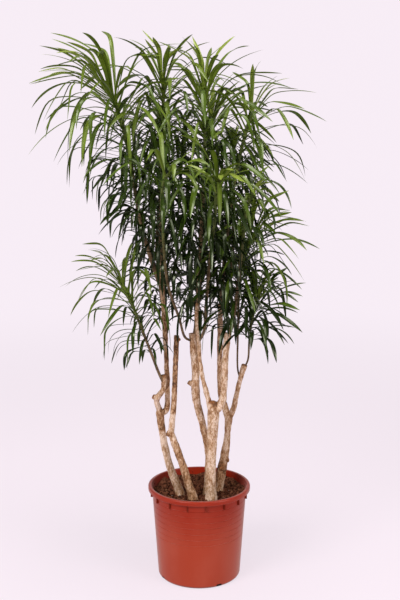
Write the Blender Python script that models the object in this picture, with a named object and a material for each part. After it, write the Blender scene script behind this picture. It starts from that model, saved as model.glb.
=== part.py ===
"""An anita dracaena in its nursery pot: five canes with their boughs, sixteen leafy heads, soil and pot.

Units are metres and +Z is up. The origin is the centre of the pot's flat underside.
The plant's front faces -Y, and its left and right are -X and +X.
"""

import itertools
import math
import random

import bmesh
import bpy
from mathutils import Vector
from mathutils.bvhtree import BVHTree

# Clearance between solids that touch on the real plant
GAP = 0.0003

# Pot: a tapered plastic tub with a rolled lip, short ribs under it and drain notches at its foot
POT_HEIGHT = 0.286
POT_SEGMENTS = 36
LIP_RADIUS = 0.155
LIP_HEIGHT = 0.014
LIP_ROUNDING = 0.003
MOUTH_RADIUS = 0.1445
NECK_RADIUS = 0.1432
FOOT_RADIUS = 0.1255
FOOT_ROUNDING = 0.011
POT_WALL = 0.0026
POT_FLOOR = 0.008
RIB_COUNT = 16
RIB_TURN = 8.4
RIB_LENGTH = 0.021
RIB_WIDTH = 0.0045
RIB_REACH = 0.1485
NOTCH_COUNT = 4
NOTCH_TURN = 29.0
NOTCH_WIDTH = 0.016
NOTCH_HEIGHT = 0.0055
NOTCH_DEPTH = 0.012
RIB_SINK = 2 * POT_WALL / 3
INNER_STEP = 0.004

# Soil: level where the canes stand and banked up a little at the pot's wall
SOIL_TOP = 0.262
SOIL_LEVEL_RADIUS = 0.098
SOIL_BANK = 0.006
SOIL_SEGMENTS = 36

# Canes and boughs: faceted tubes
CANE_SIDES = 8
CANE_STEP = 0.050
FLARE = 0.22
FLARE_HEIGHT = 0.018
STUB_SIDES = 7

# Leafy shoots: three-sided stems with leaves set round them in a spiral
STEM_SIDES = 3
STEM_STEP = 0.09
STEM_BASE_RADIUS = 0.0075
STEM_TIP_RADIUS = 0.0045
GOLDEN_ANGLE = math.radians(137.508)
TURN_SCATTER = 0.30

# Leaves: blades on three-cornered sections, their widths at root, middle and shoulder as shares
LEAF_WIDTH = 0.028
LEAF_SHARES = (0.12, 1.0, 0.86)
LEAF_ROLL = 0.65
LEAF_THICKNESS = 0.0034
LEAF_SCATTER = 0.08
YOUNG_LEAVES = 18
YOUNG_SHARE = 0.62
YOUNG_GROWTH = 3.2
YOUNG_STEPS = 2
GROWN_STEPS = 3

# How far leaves stand off their stem, in degrees, and how they bend under their weight, in radians
TIP_SPREAD = 16
LOWER_SPREAD = 62
SPREAD_SCATTER = 7
TIP_LIMP = 0.28
LOWER_LIMP = 1.22
LIMP_GROWTH = 0.65
LIMP_SCATTER = 0.15
BEND_GROWTH = 1.25
STEEPEST_FALL = math.radians(-86)

# Room for leaves: the clearance to other pieces, how often a place is tried again with a leaf that
# stands off further and is shorter, how far from a leaf's middle others can touch it, the share of
# its first stretch in which it may cross leaves of its own head, and how much nearer than its own
# stem another one may be
LEAF_CLEARANCE = 0.0012
LEAF_TRIES = 14
TRY_SPREAD = 2
TRY_SHRINK = 0.04
LEAF_REACH = 0.23
ROOT_SHARE = 0.25
SHARED_REACH = 0.11

COLOURS = {
    "pot": ((0.42, 0.062, 0.032), 0.45),
    "soil": ((0.035, 0.018, 0.010), 0.95),
    "bark": ((0.42, 0.28, 0.17), 0.80),
    "leaf": ((0.045, 0.13, 0.022), 0.40),
}

# Each cane and bough: the limb that it grows from, its (x, y, z, radius) from foot to tip, and its
# cut-back stubs as (z on the limb, direction, length, radius)
FOOT = SOIL_TOP + GAP
LIMBS = {
    "cane_left": {
        "from": None,
        "points": (
            (-0.057, -0.020, FOOT, 0.0128),
            (-0.092, -0.018, 0.359, 0.0116),
            (-0.111, -0.008, 0.452, 0.0108),
            (-0.117, -0.002, 0.500, 0.0125),
            (-0.116, 0.000, 0.520, 0.0120),
        ),
        "stubs": (),
    },
    "bough_left_short": {
        "from": "cane_left",
        "points": (
            (-0.116, -0.001, 0.512, 0.0085),
            (-0.127, -0.010, 0.545, 0.0090),
            (-0.122, -0.017, 0.566, 0.0088),
            (-0.105, -0.020, 0.592, 0.0085),
            (-0.105, -0.022, 0.633, 0.0082),
        ),
        "stubs": ((0.556, (-0.85, -0.20, 0.45), 0.016, 0.0075),),
    },
    "bough_left_tall": {
        "from": "cane_left",
        "points": (
            (-0.116, 0.000, 0.506, 0.0090),
            (-0.099, 0.010, 0.518, 0.0088),
            (-0.095, 0.015, 0.560, 0.0080),
            (-0.099, 0.018, 0.690, 0.0080),
            (-0.106, 0.014, 0.832, 0.0070),
            (-0.114, 0.010, 0.967, 0.0062),
        ),
        "stubs": (),
    },
    "cane_slim": {
        "from": None,
        "points": (
            (-0.019, -0.060, FOOT, 0.0122),
            (-0.050, -0.058, 0.368, 0.0112),
            (-0.078, -0.052, 0.447, 0.0105),
            (-0.082, -0.049, 0.476, 0.0095),
            (-0.074, -0.042, 0.565, 0.0088),
            (-0.066, -0.030, 0.755, 0.0082),
        ),
        "stubs": (
            (0.456, (-0.90, -0.10, 0.35), 0.018, 0.0080),
            (0.738, (0.90, -0.25, 0.30), 0.013, 0.0045),
        ),
    },
    "cane_front": {
        "from": None,
        "points": (
            (0.036, -0.060, FOOT, 0.0156),
            (0.035, -0.060, 0.340, 0.0150),
            (0.039, -0.057, 0.440, 0.0150),
            (0.042, -0.055, 0.520, 0.0172),
            (0.041, -0.055, 0.560, 0.0105),
        ),
        "stubs": (),
    },
    "bough_front_left": {
        "from": "cane_front",
        "points": (
            (0.038, -0.055, 0.525, 0.0090),
            (0.024, -0.058, 0.578, 0.0080),
            (0.006, -0.059, 0.655, 0.0068),
            (-0.002, -0.050, 0.742, 0.0070),
            (-0.006, -0.040, 0.811, 0.0074),
            (-0.003, -0.030, 0.861, 0.0066),
        ),
        "stubs": (),
    },
    "bough_front_right": {
        "from": "cane_front",
        "points": (
            (0.044, -0.055, 0.528, 0.0115),
            (0.064, -0.053, 0.552, 0.0118),
            (0.073, -0.050, 0.595, 0.0096),
            (0.077, -0.047, 0.690, 0.0096),
            (0.084, -0.044, 0.766, 0.0102),
        ),
        "stubs": (),
    },
    "cane_middle": {
        "from": None,
        "points": (
            (0.025, -0.018, FOOT, 0.0115),
            (0.028, -0.015, 0.380, 0.0104),
            (0.013, -0.011, 0.463, 0.0100),
            (-0.007, -0.010, 0.545, 0.0118),
            (-0.011, -0.010, 0.590, 0.0130),
            (-0.012, -0.010, 0.650, 0.0112),
            (-0.021, -0.010, 0.758, 0.0102),
        ),
        "stubs": ((0.594, (-0.85, -0.10, 0.55), 0.026, 0.0070),),
    },
    "cane_right": {
        "from": None,
        "points": (
            (0.058, 0.010, FOOT, 0.0132),
            (0.068, 0.010, 0.320, 0.0142),
            (0.080, 0.012, 0.390, 0.0120),
            (0.087, 0.016, 0.452, 0.0102),
            (0.089, 0.018, 0.484, 0.0118),
            (0.089, 0.018, 0.496, 0.0100),
        ),
        "stubs": (
            (0.336, (-0.10, -0.95, 0.25), 0.0165, 0.0080),
            (0.352, (0.80, -0.30, 0.20), 0.017, 0.0060),
        ),
    },
    "bough_right_inner": {
        "from": "cane_right",
        "points": (
            (0.088, 0.018, 0.482, 0.0092),
            (0.076, 0.025, 0.528, 0.0090),
            (0.064, 0.029, 0.566, 0.0080),
            (0.062, 0.030, 0.680, 0.0078),
            (0.063, 0.030, 0.790, 0.0086),
            (0.065, 0.030, 0.850, 0.0076),
        ),
        "stubs": (),
    },
    "bough_right_outer": {
        "from": "cane_right",
        "points": (
            (0.091, 0.018, 0.484, 0.0082),
            (0.105, 0.016, 0.524, 0.0080),
            (0.120, 0.008, 0.598, 0.0080),
            (0.136, 0.000, 0.659, 0.0088),
        ),
        "stubs": (),
    },
}

# Each leafy head: the limb that carries it, the route of its stem from inside that limb to the
# growing tip, how far down from the tip it has leaves, how many, how long and limp they are, and
# the share of their length that they have lost at the lowest one
HEADS = {
    "foliage_top_left": {
        "from": "bough_left_tall",
        "route": (
            (-0.109, 0.011, 0.885), (-0.126, 0.006, 0.930), (-0.166, 0.000, 1.068),
            (-0.199, 0.000, 1.265), (-0.219, -0.004, 1.364), (-0.240, -0.018, 1.426), (-0.266, -0.038, 1.468),
        ),
        "leafy": 0.52, "leaves": 50, "length": 0.300, "limp": 1.05, "fade": 0.50,
    },
    "foliage_top_middle_left": {
        "from": "bough_left_tall",
        "route": (
            (-0.1138, 0.0102, 0.960), (-0.112, 0.028, 1.110), (-0.111, 0.045, 1.262),
            (-0.104, 0.050, 1.415), (-0.104, 0.044, 1.496),
        ),
        "leafy": 0.50, "leaves": 41, "length": 0.250, "limp": 1.05, "fade": 0.25,
    },
    "foliage_top_middle": {
        "from": "bough_front_left",
        "route": (
            (-0.0032, -0.031, 0.855), (0.006, -0.018, 1.050), (0.016, 0.000, 1.305), (0.014, 0.000, 1.470),
        ),
        "leafy": 0.54, "leaves": 43, "length": 0.262, "limp": 1.05, "fade": 0.20,
    },
    "foliage_top_right": {
        "from": "bough_right_inner",
        "route": (
            (0.0649, 0.030, 0.845), (0.088, 0.036, 1.100), (0.122, 0.040, 1.290), (0.156, 0.026, 1.406),
        ),
        "leafy": 0.52, "leaves": 43, "length": 0.262, "limp": 1.00, "fade": 0.40,
    },
    "foliage_front_left": {
        "from": "cane_middle",
        "route": (
            (-0.019, -0.010, 0.733), (-0.043, -0.030, 0.752), (-0.058, -0.058, 0.812),
            (-0.090, -0.115, 0.930), (-0.100, -0.165, 1.080), (-0.100, -0.205, 1.185), (-0.088, -0.236, 1.232),
            (-0.062, -0.258, 1.246),
        ),
        "leafy": 0.34, "leaves": 36, "length": 0.220, "limp": 1.30, "fade": 0.20,
    },
    "foliage_front_middle": {
        "from": "bough_front_left",
        "route": (
            (-0.002, -0.050, 0.740), (0.016, -0.057, 0.780), (0.020, -0.066, 0.850),
            (0.032, -0.120, 1.010), (0.044, -0.165, 1.120), (0.046, -0.205, 1.200), (0.056, -0.240, 1.228),
        ),
        "leafy": 0.45, "leaves": 36, "length": 0.225, "limp": 1.30, "fade": 0.20,
    },
    "foliage_front_right": {
        "from": "bough_front_right",
        "route": (
            (0.083, -0.044, 0.750), (0.096, -0.054, 0.790), (0.108, -0.068, 0.880),
            (0.124, -0.098, 1.050), (0.134, -0.130, 1.145), (0.152, -0.158, 1.188),
        ),
        "leafy": 0.36, "leaves": 34, "length": 0.160, "limp": 1.20, "fade": 0.12,
    },
    "foliage_right": {
        "from": "bough_right_outer",
        "route": (
            (0.123, 0.006, 0.612), (0.115, 0.014, 0.650), (0.115, 0.006, 0.740),
            (0.116, -0.022, 0.860), (0.124, -0.040, 0.962), (0.141, -0.052, 1.022), (0.162, -0.058, 1.056),
        ),
        "leafy": 0.33, "leaves": 36, "length": 0.235, "limp": 1.05, "fade": 0.20,
    },
    "foliage_low_left": {
        "from": "bough_left_short",
        "route": (
            (-0.105, -0.021, 0.606), (-0.121, -0.036, 0.648), (-0.152, -0.050, 0.738),
            (-0.191, -0.064, 0.845), (-0.234, -0.080, 0.936),
        ),
        "leafy": 0.27, "leaves": 36, "length": 0.225, "limp": 1.05, "fade": 0.45,
    },
    "foliage_low_right": {
        "from": "bough_right_outer",
        "route": (
            (0.134, 0.001, 0.648), (0.146, -0.006, 0.680), (0.149, -0.015, 0.747), (0.160, -0.036, 0.825),
            (0.176, -0.046, 0.876),
        ),
        "leafy": 0.15, "leaves": 26, "length": 0.185, "limp": 0.85, "fade": 0.25,
    },
    "foliage_low_middle": {
        "from": "cane_middle",
        "route": (
            (-0.014, -0.010, 0.680), (-0.012, 0.030, 0.712), (-0.004, 0.090, 0.785), (0.002, 0.150, 0.880),
        ),
        "leafy": 0.13, "leaves": 16, "length": 0.185, "limp": 0.90, "fade": 0.25,
    },
    "foliage_back_left": {
        "from": "bough_left_tall",
        "route": (
            (-0.106, 0.014, 0.832), (-0.114, 0.045, 0.865), (-0.128, 0.115, 0.990),
            (-0.120, 0.170, 1.160), (-0.112, 0.200, 1.360),
        ),
        "leafy": 0.48, "leaves": 36, "length": 0.205, "limp": 1.05, "fade": 0.25,
    },
    "foliage_back_middle": {
        "from": "cane_middle",
        "route": (
            (-0.019, -0.010, 0.735), (-0.010, 0.025, 0.775), (-0.003, 0.090, 0.890),
            (0.006, 0.155, 1.070), (0.036, 0.190, 1.372),
        ),
        "leafy": 0.46, "leaves": 36, "length": 0.255, "limp": 1.05, "fade": 0.15,
    },
    "foliage_back_right": {
        "from": "bough_right_inner",
        "route": (
            (0.063, 0.030, 0.795), (0.076, 0.056, 0.835), (0.100, 0.112, 0.960),
            (0.104, 0.160, 1.110), (0.106, 0.190, 1.305),
        ),
        "leafy": 0.38, "leaves": 36, "length": 0.175, "limp": 1.10, "fade": 0.15,
    },
    "foliage_low_back_right": {
        "from": "bough_right_inner",
        "route": (
            (0.062, 0.030, 0.690), (0.082, 0.056, 0.720), (0.112, 0.112, 0.810), (0.135, 0.170, 0.965),
        ),
        "leafy": 0.15, "leaves": 24, "length": 0.180, "limp": 0.90, "fade": 0.30,
    },
    "foliage_low_back_left": {
        "from": "bough_left_tall",
        "route": (
            (-0.099, 0.018, 0.690), (-0.106, 0.050, 0.730), (-0.110, 0.112, 0.830), (-0.112, 0.170, 0.975),
        ),
        "leafy": 0.20, "leaves": 24, "length": 0.180, "limp": 1.00, "fade": 0.30,
    },
}


def clear_scene():
    for thing in list(bpy.data.objects):
        bpy.data.objects.remove(thing)


def material(name):
    """A Principled material in this plant's colours."""
    known = bpy.data.materials.get(name)
    if known:
        return known
    colour, roughness = COLOURS[name]
    made = bpy.data.materials.new(name)
    made.use_nodes = True
    shader = made.node_tree.nodes["Principled BSDF"]
    shader.inputs["Base Color"].default_value = (*colour, 1.0)
    shader.inputs["Roughness"].default_value = roughness
    shader.inputs["Metallic"].default_value = 0.0
    return made


def put_in_scene(name, mesh_data, finish, smooth=True):
    """Makes an object from (points, faces) and gives it its finish."""
    points, faces = mesh_data
    mesh = bpy.data.meshes.new(name)
    mesh.from_pydata([tuple(point) for point in points], [], faces)
    mesh.validate()
    if smooth:
        mesh.shade_smooth()
        mesh.set_sharp_from_angle(angle=math.radians(45))
    thing = bpy.data.objects.new(name, mesh)
    bpy.context.scene.collection.objects.link(thing)
    mesh.materials.append(material(finish))
    return thing


def hide_cutter(thing):
    thing.hide_render = True
    thing.display_type = "WIRE"


def apply_modifiers(thing):
    """Replaces a thing's mesh by what its modifiers make of it."""
    graph = bpy.context.evaluated_depsgraph_get()
    finished = bpy.data.meshes.new_from_object(thing.evaluated_get(graph))
    thing.modifiers.clear()
    thing.data = finished


def boolean(thing, operation, others):
    """Joins or cuts a thing by a list of others in one step, then removes the others."""
    group = bpy.data.collections.new("operands")
    bpy.context.scene.collection.children.link(group)
    for other in others:
        for home in list(other.users_collection):
            home.objects.unlink(other)
        group.objects.link(other)
        hide_cutter(other)
    step = thing.modifiers.new(operation.title(), "BOOLEAN")
    step.operation = operation
    step.operand_type = "COLLECTION"
    step.collection = group
    step.solver = "EXACT"
    bpy.context.view_layer.update()
    apply_modifiers(thing)
    for other in others:
        bpy.data.objects.remove(other)
    bpy.data.collections.remove(group)


def spline_point(a, b, c, d, t):
    """The point t of the way from b to c on the smooth curve that comes from a and goes on to d."""
    straight = (c - a) * t
    bend = (2 * a - 5 * b + 4 * c - d) * t**2
    turn = (3 * b - a - 3 * c + d) * t**3
    return 0.5 * (2 * b + straight + bend + turn)


def smooth_route(points, step):
    """Points about a step apart on a smooth curve through the given ones, extra values included."""
    points = [Vector(point) for point in points]
    before = points[0] * 2 - points[1]
    after = points[-1] * 2 - points[-2]
    padded = [before] + points + [after]
    route = []
    for a, b, c, d in zip(padded, padded[1:], padded[2:], padded[3:]):
        count = max(1, round((Vector(c[:3]) - Vector(b[:3])).length / step))
        route += [spline_point(a, b, c, d, i / count) for i in range(count)]
    route.append(points[-1])
    return route


def frames_along(centres):
    """(direction, side, top) at each point of a route, turning as little as possible along it."""
    count = len(centres)
    frames = []
    side = Vector((1, 0, 0))
    for i in range(count):
        direction = (centres[min(i + 1, count - 1)] - centres[max(i - 1, 0)]).normalized()
        side = (side - direction * side.dot(direction)).normalized()
        frames.append((direction, side, direction.cross(side)))
    return frames


def tube(centres, radii, sides, flat_foot=False):
    """(points, faces) of a closed tube; with a flat foot, its first ring lies level."""
    points, faces = [], []
    for centre, radius, (direction, side, top) in zip(centres, radii, frames_along(centres)):
        for k in range(sides):
            angle = 2 * math.pi * k / sides
            spot = centre + (side * math.cos(angle) + top * math.sin(angle)) * radius
            if flat_foot and len(points) < sides:
                spot = spot - direction * ((spot.z - centre.z) / direction.z)
            points.append(spot)
    rings = len(centres)
    for i in range(rings - 1):
        for k in range(sides):
            near, far = i * sides + k, i * sides + (k + 1) % sides
            faces.append((near, far, far + sides, near + sides))
    faces.append(tuple(reversed(range(sides))))
    faces.append(tuple(range((rings - 1) * sides, rings * sides)))
    return points, faces


def limb_tube(limb, grow=0.0):
    """A cane's or bough's tube, or with grow the sleeve that is cut clear round it."""
    route = smooth_route(limb["points"], CANE_STEP)
    centres = [Vector(spot[:3]) for spot in route]
    on_soil = limb["from"] is None
    radii = []
    for spot in route:
        flare = FLARE * math.exp(-(spot[2] - FOOT) / FLARE_HEIGHT) if on_soil else 0.0
        radii.append(spot[3] * (1 + flare) + grow)
    if grow:
        centres[-1] = centres[-1] + (centres[-1] - centres[-2]).normalized() * grow
    return tube(centres, radii, CANE_SIDES, flat_foot=on_soil and not grow)


def stub_tube(limb, height, direction, length, radius):
    """A short cut-back side branch, from inside its limb outwards."""
    route = smooth_route(limb["points"], CANE_STEP)
    start = Vector(min(route, key=lambda spot: abs(spot[2] - height))[:3])
    ends = [start, start + Vector(direction).normalized() * (length * 0.6)]
    ends.append(ends[-1] + Vector(direction).normalized() * (length * 0.4))
    return tube(ends, (radius * 1.3, radius * 1.05, radius), STUB_SIDES)


def add_limbs():
    """The canes and boughs. A bough is cut 0.3 mm clear of the limb it grows from and of its twin."""
    made = {}
    for name, limb in LIMBS.items():
        made[name] = put_in_scene(name, limb_tube(limb), "bark")
        stubs = [put_in_scene("stub", stub_tube(limb, *stub), "bark") for stub in limb["stubs"]]
        if stubs:
            boolean(made[name], "UNION", stubs)
    for name, limb in LIMBS.items():
        if limb["from"] is None:
            continue
        twins = [other for other in LIMBS if LIMBS[other]["from"] == limb["from"]]
        clear_of = [limb["from"]] + twins[: twins.index(name)]
        sleeves = [put_in_scene("sleeve", limb_tube(LIMBS[other], GAP), "bark") for other in clear_of]
        boolean(made[name], "DIFFERENCE", sleeves)
        keep_largest_piece(made[name])
    return made


def keep_largest_piece(thing):
    """Drops the loose scraps that a cut leaves."""
    mesh = bmesh.new()
    mesh.from_mesh(thing.data)
    waiting = set(mesh.verts)
    pieces = []
    while waiting:
        piece, edge = set(), [waiting.pop()]
        while edge:
            vertex = edge.pop()
            piece.add(vertex)
            for link in vertex.link_edges:
                other = link.other_vert(vertex)
                if other in waiting:
                    waiting.remove(other)
                    edge.append(other)
        pieces.append(piece)
    pieces.sort(key=len)
    for piece in pieces[:-1]:
        bmesh.ops.delete(mesh, geom=list(piece), context="VERTS")
    mesh.to_mesh(thing.data)
    mesh.free()


def turned(name, profile, segments, finish):
    """A closed profile of (radius, z), listed up its outer side, turned about the pot's axis."""
    points, faces, rings = [], [], []
    for radius, z in profile:
        if radius == 0:
            rings.append([len(points)] * segments)
            points.append((0, 0, z))
            continue
        rings.append(list(range(len(points), len(points) + segments)))
        for k in range(segments):
            angle = 2 * math.pi * k / segments
            points.append((radius * math.cos(angle), radius * math.sin(angle), z))
    for low, high in zip(rings, rings[1:]):
        for k in range(segments):
            corner = (low[k], low[(k + 1) % segments], high[(k + 1) % segments], high[k])
            faces.append(tuple(dict.fromkeys(corner)))
    return put_in_scene(name, (points, faces), finish)


def pot_outer_radius(z):
    """The tub's outer radius at a height between its rounded foot and its neck."""
    foot, neck = FOOT_ROUNDING, POT_HEIGHT - LIP_HEIGHT
    return FOOT_RADIUS + (NECK_RADIUS - FOOT_RADIUS) * (z - foot) / (neck - foot)


def rounded_corner(centre_radius, centre_z, rounding, start, end, steps):
    """Profile points on a quarter round, from one angle to another in degrees."""
    spots = []
    for i in range(steps + 1):
        angle = math.radians(start + (end - start) * i / steps)
        spots.append((centre_radius + rounding * math.cos(angle), centre_z + rounding * math.sin(angle)))
    return spots


def box(name, low, high, finish):
    """A plain block between two corners."""
    corners = list(itertools.product(*zip(low, high)))
    faces = [(0, 1, 3, 2), (4, 6, 7, 5), (0, 4, 5, 1), (2, 3, 7, 6), (0, 2, 6, 4), (1, 5, 7, 3)]
    return put_in_scene(name, (corners, faces), finish, smooth=False)


def ring_of_boxes(count, first_turn, low, high):
    """Copies of a block that lies out along -Y, turned evenly round the pot."""
    made = []
    for i in range(count):
        block = box("block", low, high, "pot")
        block.rotation_euler.z = math.radians(first_turn + 360 * i / count)
        made.append(block)
    return made


def add_pot():
    neck = POT_HEIGHT - LIP_HEIGHT
    lip_top = POT_HEIGHT - LIP_ROUNDING
    foot_corner = rounded_corner(FOOT_RADIUS - FOOT_ROUNDING, FOOT_ROUNDING, FOOT_ROUNDING, -90, 0, 2)
    profile = [(0, 0)] + foot_corner
    profile += [(NECK_RADIUS, neck), (LIP_RADIUS - LIP_ROUNDING / 2, neck)]
    profile += [(LIP_RADIUS, neck + LIP_ROUNDING / 2)]
    profile += rounded_corner(LIP_RADIUS - LIP_ROUNDING, lip_top, LIP_ROUNDING, 0, 90, 2)
    profile += [(MOUTH_RADIUS + LIP_ROUNDING, POT_HEIGHT), (MOUTH_RADIUS, lip_top)]
    inner_neck = NECK_RADIUS - POT_WALL
    inner_foot = pot_outer_radius(POT_FLOOR) - POT_WALL
    profile += [(inner_neck, neck - INNER_STEP), (inner_foot, POT_FLOOR), (0, POT_FLOOR)]
    pot = turned("pot", profile, POT_SEGMENTS, "pot")
    ribs = ring_of_boxes(
        RIB_COUNT,
        RIB_TURN,
        (-RIB_WIDTH / 2, -RIB_REACH, neck - RIB_LENGTH),
        (RIB_WIDTH / 2, -(NECK_RADIUS - RIB_SINK), neck + LIP_HEIGHT / 2),
    )
    boolean(pot, "UNION", ribs)
    notches = ring_of_boxes(
        NOTCH_COUNT,
        NOTCH_TURN,
        (-NOTCH_WIDTH / 2, -(FOOT_RADIUS + NOTCH_DEPTH), -NOTCH_HEIGHT),
        (NOTCH_WIDTH / 2, -(FOOT_RADIUS - NOTCH_DEPTH), NOTCH_HEIGHT),
    )
    boolean(pot, "DIFFERENCE", notches)
    return pot


def add_soil():
    inner_foot = pot_outer_radius(POT_FLOOR) - POT_WALL - 2 * GAP
    bank_z = SOIL_TOP + SOIL_BANK
    inner_top = pot_outer_radius(bank_z) - POT_WALL - 2 * GAP
    profile = [
        (0, POT_FLOOR + GAP),
        (inner_foot, POT_FLOOR + GAP),
        (inner_top, bank_z),
        (SOIL_LEVEL_RADIUS, SOIL_TOP),
        (0, SOIL_TOP),
    ]
    return turned("soil", profile, SOIL_SEGMENTS, "soil")


def nearest_on_route(route, spot):
    """Distance from a point to the nearest stretch of a route."""
    best = math.inf
    for a, b in zip(route, route[1:]):
        along = b - a
        t = max(0.0, min(1.0, (spot - a).dot(along) / along.length_squared))
        best = min(best, (spot - a - along * t).length)
    return best


def spot_from_tip(route, distance):
    """The point and the direction on a stem's route, a distance down from its tip."""
    left = distance
    for upper, lower in zip(reversed(route), list(reversed(route))[1:]):
        span = (upper - lower).length
        if left <= span:
            return upper + (lower - upper) * (left / span), (upper - lower).normalized()
        left -= span
    return route[0], (route[1] - route[0]).normalized()


def leaf_line(root, start, limp, length, steps):
    """A leaf's centre line: it leaves the stem along start and bends down by its own weight."""
    flat = Vector((start.x, start.y, 0))
    heading = flat.normalized()
    rise = math.atan2(start.z, flat.length)
    line = [root]
    for k in range(steps):
        lift = max(rise - limp * ((k + 0.5) / steps) ** BEND_GROWTH, STEEPEST_FALL)
        step = heading * math.cos(lift) + Vector((0, 0, math.sin(lift)))
        line.append(line[-1] + step * (length / steps))
    return line, heading


def leaf_solid(line, heading, roll, swell=0.0):
    """A closed blade on sections with two edges and a keel, or with swell the room round it."""
    level = heading.cross(Vector((0, 0, 1)))
    shares = list(LEAF_SHARES[: len(line) - 1])
    if swell:
        shares.append(0.0)
    points, faces = [], []
    for i, share in enumerate(shares):
        ahead = (line[min(i + 1, len(line) - 1)] - line[max(i - 1, 0)]).normalized()
        below = ahead.cross(level)
        side = level * math.cos(roll) + below * math.sin(roll)
        keel = below * math.cos(roll) - level * math.sin(roll)
        half = side * (LEAF_WIDTH * share / 2 + swell)
        depth = (LEAF_THICKNESS if share else 0.0) + 2 * swell
        back = line[i] - keel * swell
        points += [back + half, back - half, line[i] + keel * depth]
    faces.append((0, 1, 2))
    for i in range(len(shares) - 1):
        for k in range(3):
            near, far = 3 * i + k, 3 * i + (k + 1) % 3
            faces += [(near, near + 3, far + 3), (near, far + 3, far)]
    last = len(points) - 3
    if swell:
        faces.append((last, last + 2, last + 1))
    else:
        points.append(line[-1])
        for k in range(3):
            faces.append((last + k, last + 3, last + (k + 1) % 3))
    return points, faces


def leaf_room(line, heading, roll):
    """The blade with some clearance all round it, to test what it would touch."""
    beyond = line[-1] + (line[-1] - line[-2]).normalized() * LEAF_CLEARANCE
    return leaf_solid(line[:-1] + [beyond], heading, roll, LEAF_CLEARANCE)


class Shoot:
    """One leafy head while it grows: its stem's route and the leaves that it has kept."""

    def __init__(self, name, head):
        self.name = name
        self.head = head
        self.route = smooth_route(head["route"], STEM_STEP)
        self.random = random.Random("leaves of " + name)
        self.leaves = []
        self.missed = 0
        count = len(self.route)
        radii = [
            STEM_BASE_RADIUS + (STEM_TIP_RADIUS - STEM_BASE_RADIUS) * i / (count - 1) for i in range(count)
        ]
        self.stem = tube(self.route, radii, STEM_SIDES)

    def leaf(self, number, attempt):
        """A leaf, counted down from the tip: its line, blade, and room with and without its root."""
        head = self.head
        down = (number + 0.5) / head["leaves"]
        root, up_stem = spot_from_tip(self.route, head["leafy"] * down)
        scatter = self.random.uniform(-TURN_SCATTER, TURN_SCATTER) * (1 + attempt / 2)
        round_stem = number * GOLDEN_ANGLE + scatter
        side = up_stem.orthogonal().normalized()
        outward = side * math.cos(round_stem) + up_stem.cross(side) * math.sin(round_stem)
        lean = TIP_SPREAD + LOWER_SPREAD * down**0.5
        lean += self.random.uniform(-SPREAD_SCATTER, SPREAD_SCATTER)
        spread = math.radians(lean + TRY_SPREAD * attempt)
        start = outward * math.sin(spread) + up_stem * math.cos(spread)
        limp = head["limp"] * (TIP_LIMP + LOWER_LIMP * down**LIMP_GROWTH)
        limp *= self.random.uniform(1 - LIMP_SCATTER, 1 + LIMP_SCATTER)
        young = min(1.0, YOUNG_SHARE + YOUNG_GROWTH * down)
        shrink = (1.0 - TRY_SHRINK * attempt) * (1.0 - head["fade"] * down)
        length = head["length"] * young * shrink
        length *= self.random.uniform(1 - LEAF_SCATTER, 1 + LEAF_SCATTER)
        roll = self.random.uniform(-LEAF_ROLL, LEAF_ROLL)
        steps = YOUNG_STEPS if number < YOUNG_LEAVES else GROWN_STEPS
        line, heading = leaf_line(root, start, limp, length, steps)
        blade = leaf_solid(line, heading, roll)
        room = leaf_room(line, heading, roll)
        outer_room = leaf_room([root.lerp(line[1], ROOT_SHARE)] + line[1:], heading, roll)
        return line, blade, room, outer_room


def keeps_its_space(line, own, others):
    """True if a leaf stays about where its own stem is the nearest one."""
    for spot in line[2:]:
        reach = nearest_on_route(own.route, spot) - SHARED_REACH
        if any(nearest_on_route(other.route, spot) < reach for other in others):
            return False
    return True


def tree_of(mesh_data):
    return BVHTree.FromPolygons([tuple(point) for point in mesh_data[0]], mesh_data[1])


def object_tree(thing):
    return BVHTree.FromObject(thing, bpy.context.evaluated_depsgraph_get())


def grow_leaves(shoots, fixed):
    """Sets the leaves turn by turn round all the heads, leaving out any that would touch another piece."""
    stems = {shoot.name: tree_of(shoot.stem) for shoot in shoots}
    placed = []
    for number in range(max(shoot.head["leaves"] for shoot in shoots)):
        for shoot in shoots:
            if number >= shoot.head["leaves"]:
                continue
            others = [other for other in shoots if other is not shoot]
            for attempt in range(LEAF_TRIES):
                line, blade, room, outer_room = shoot.leaf(number, attempt)
                if not keeps_its_space(line, shoot, others):
                    continue
                tree, outer_tree = tree_of(room), tree_of(outer_room)
                if any(tree.overlap(thing) for thing in fixed):
                    continue
                if any(tree.overlap(stems[other.name]) for other in others):
                    continue
                middle = line[len(line) // 2]
                near = [leaf for leaf in placed if (middle - leaf[1]).length < 2 * LEAF_REACH]
                rooms = [(outer_tree if leaf[0] is shoot else tree, leaf[2]) for leaf in near]
                if any(mine.overlap(theirs) for mine, theirs in rooms):
                    continue
                placed.append((shoot, middle, tree_of(blade)))
                shoot.leaves.append(blade)
                break
            else:
                shoot.missed += 1


def add_foliage(limbs, pot, soil):
    """The leafy heads: each one's stem and leaves fused, and its foot cut clear of its limb."""
    shoots = [Shoot(name, head) for name, head in HEADS.items()]
    fixed = [object_tree(thing) for thing in [pot, soil] + list(limbs.values())]
    grow_leaves(shoots, fixed)
    for shoot in shoots:
        head = put_in_scene(shoot.name, shoot.stem, "leaf")
        leaves = [put_in_scene("blade", blade, "leaf") for blade in shoot.leaves]
        boolean(head, "UNION", leaves)
        sleeve = put_in_scene("sleeve", limb_tube(LIMBS[shoot.head["from"]], GAP), "bark")
        boolean(head, "DIFFERENCE", [sleeve])
        keep_largest_piece(head)
        print(f"{shoot.name}: {len(shoot.leaves)} leaves, {shoot.missed} left out")


def main():
    clear_scene()
    pot = add_pot()
    soil = add_soil()
    limbs = add_limbs()
    add_foliage(limbs, pot, soil)


main()
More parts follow.
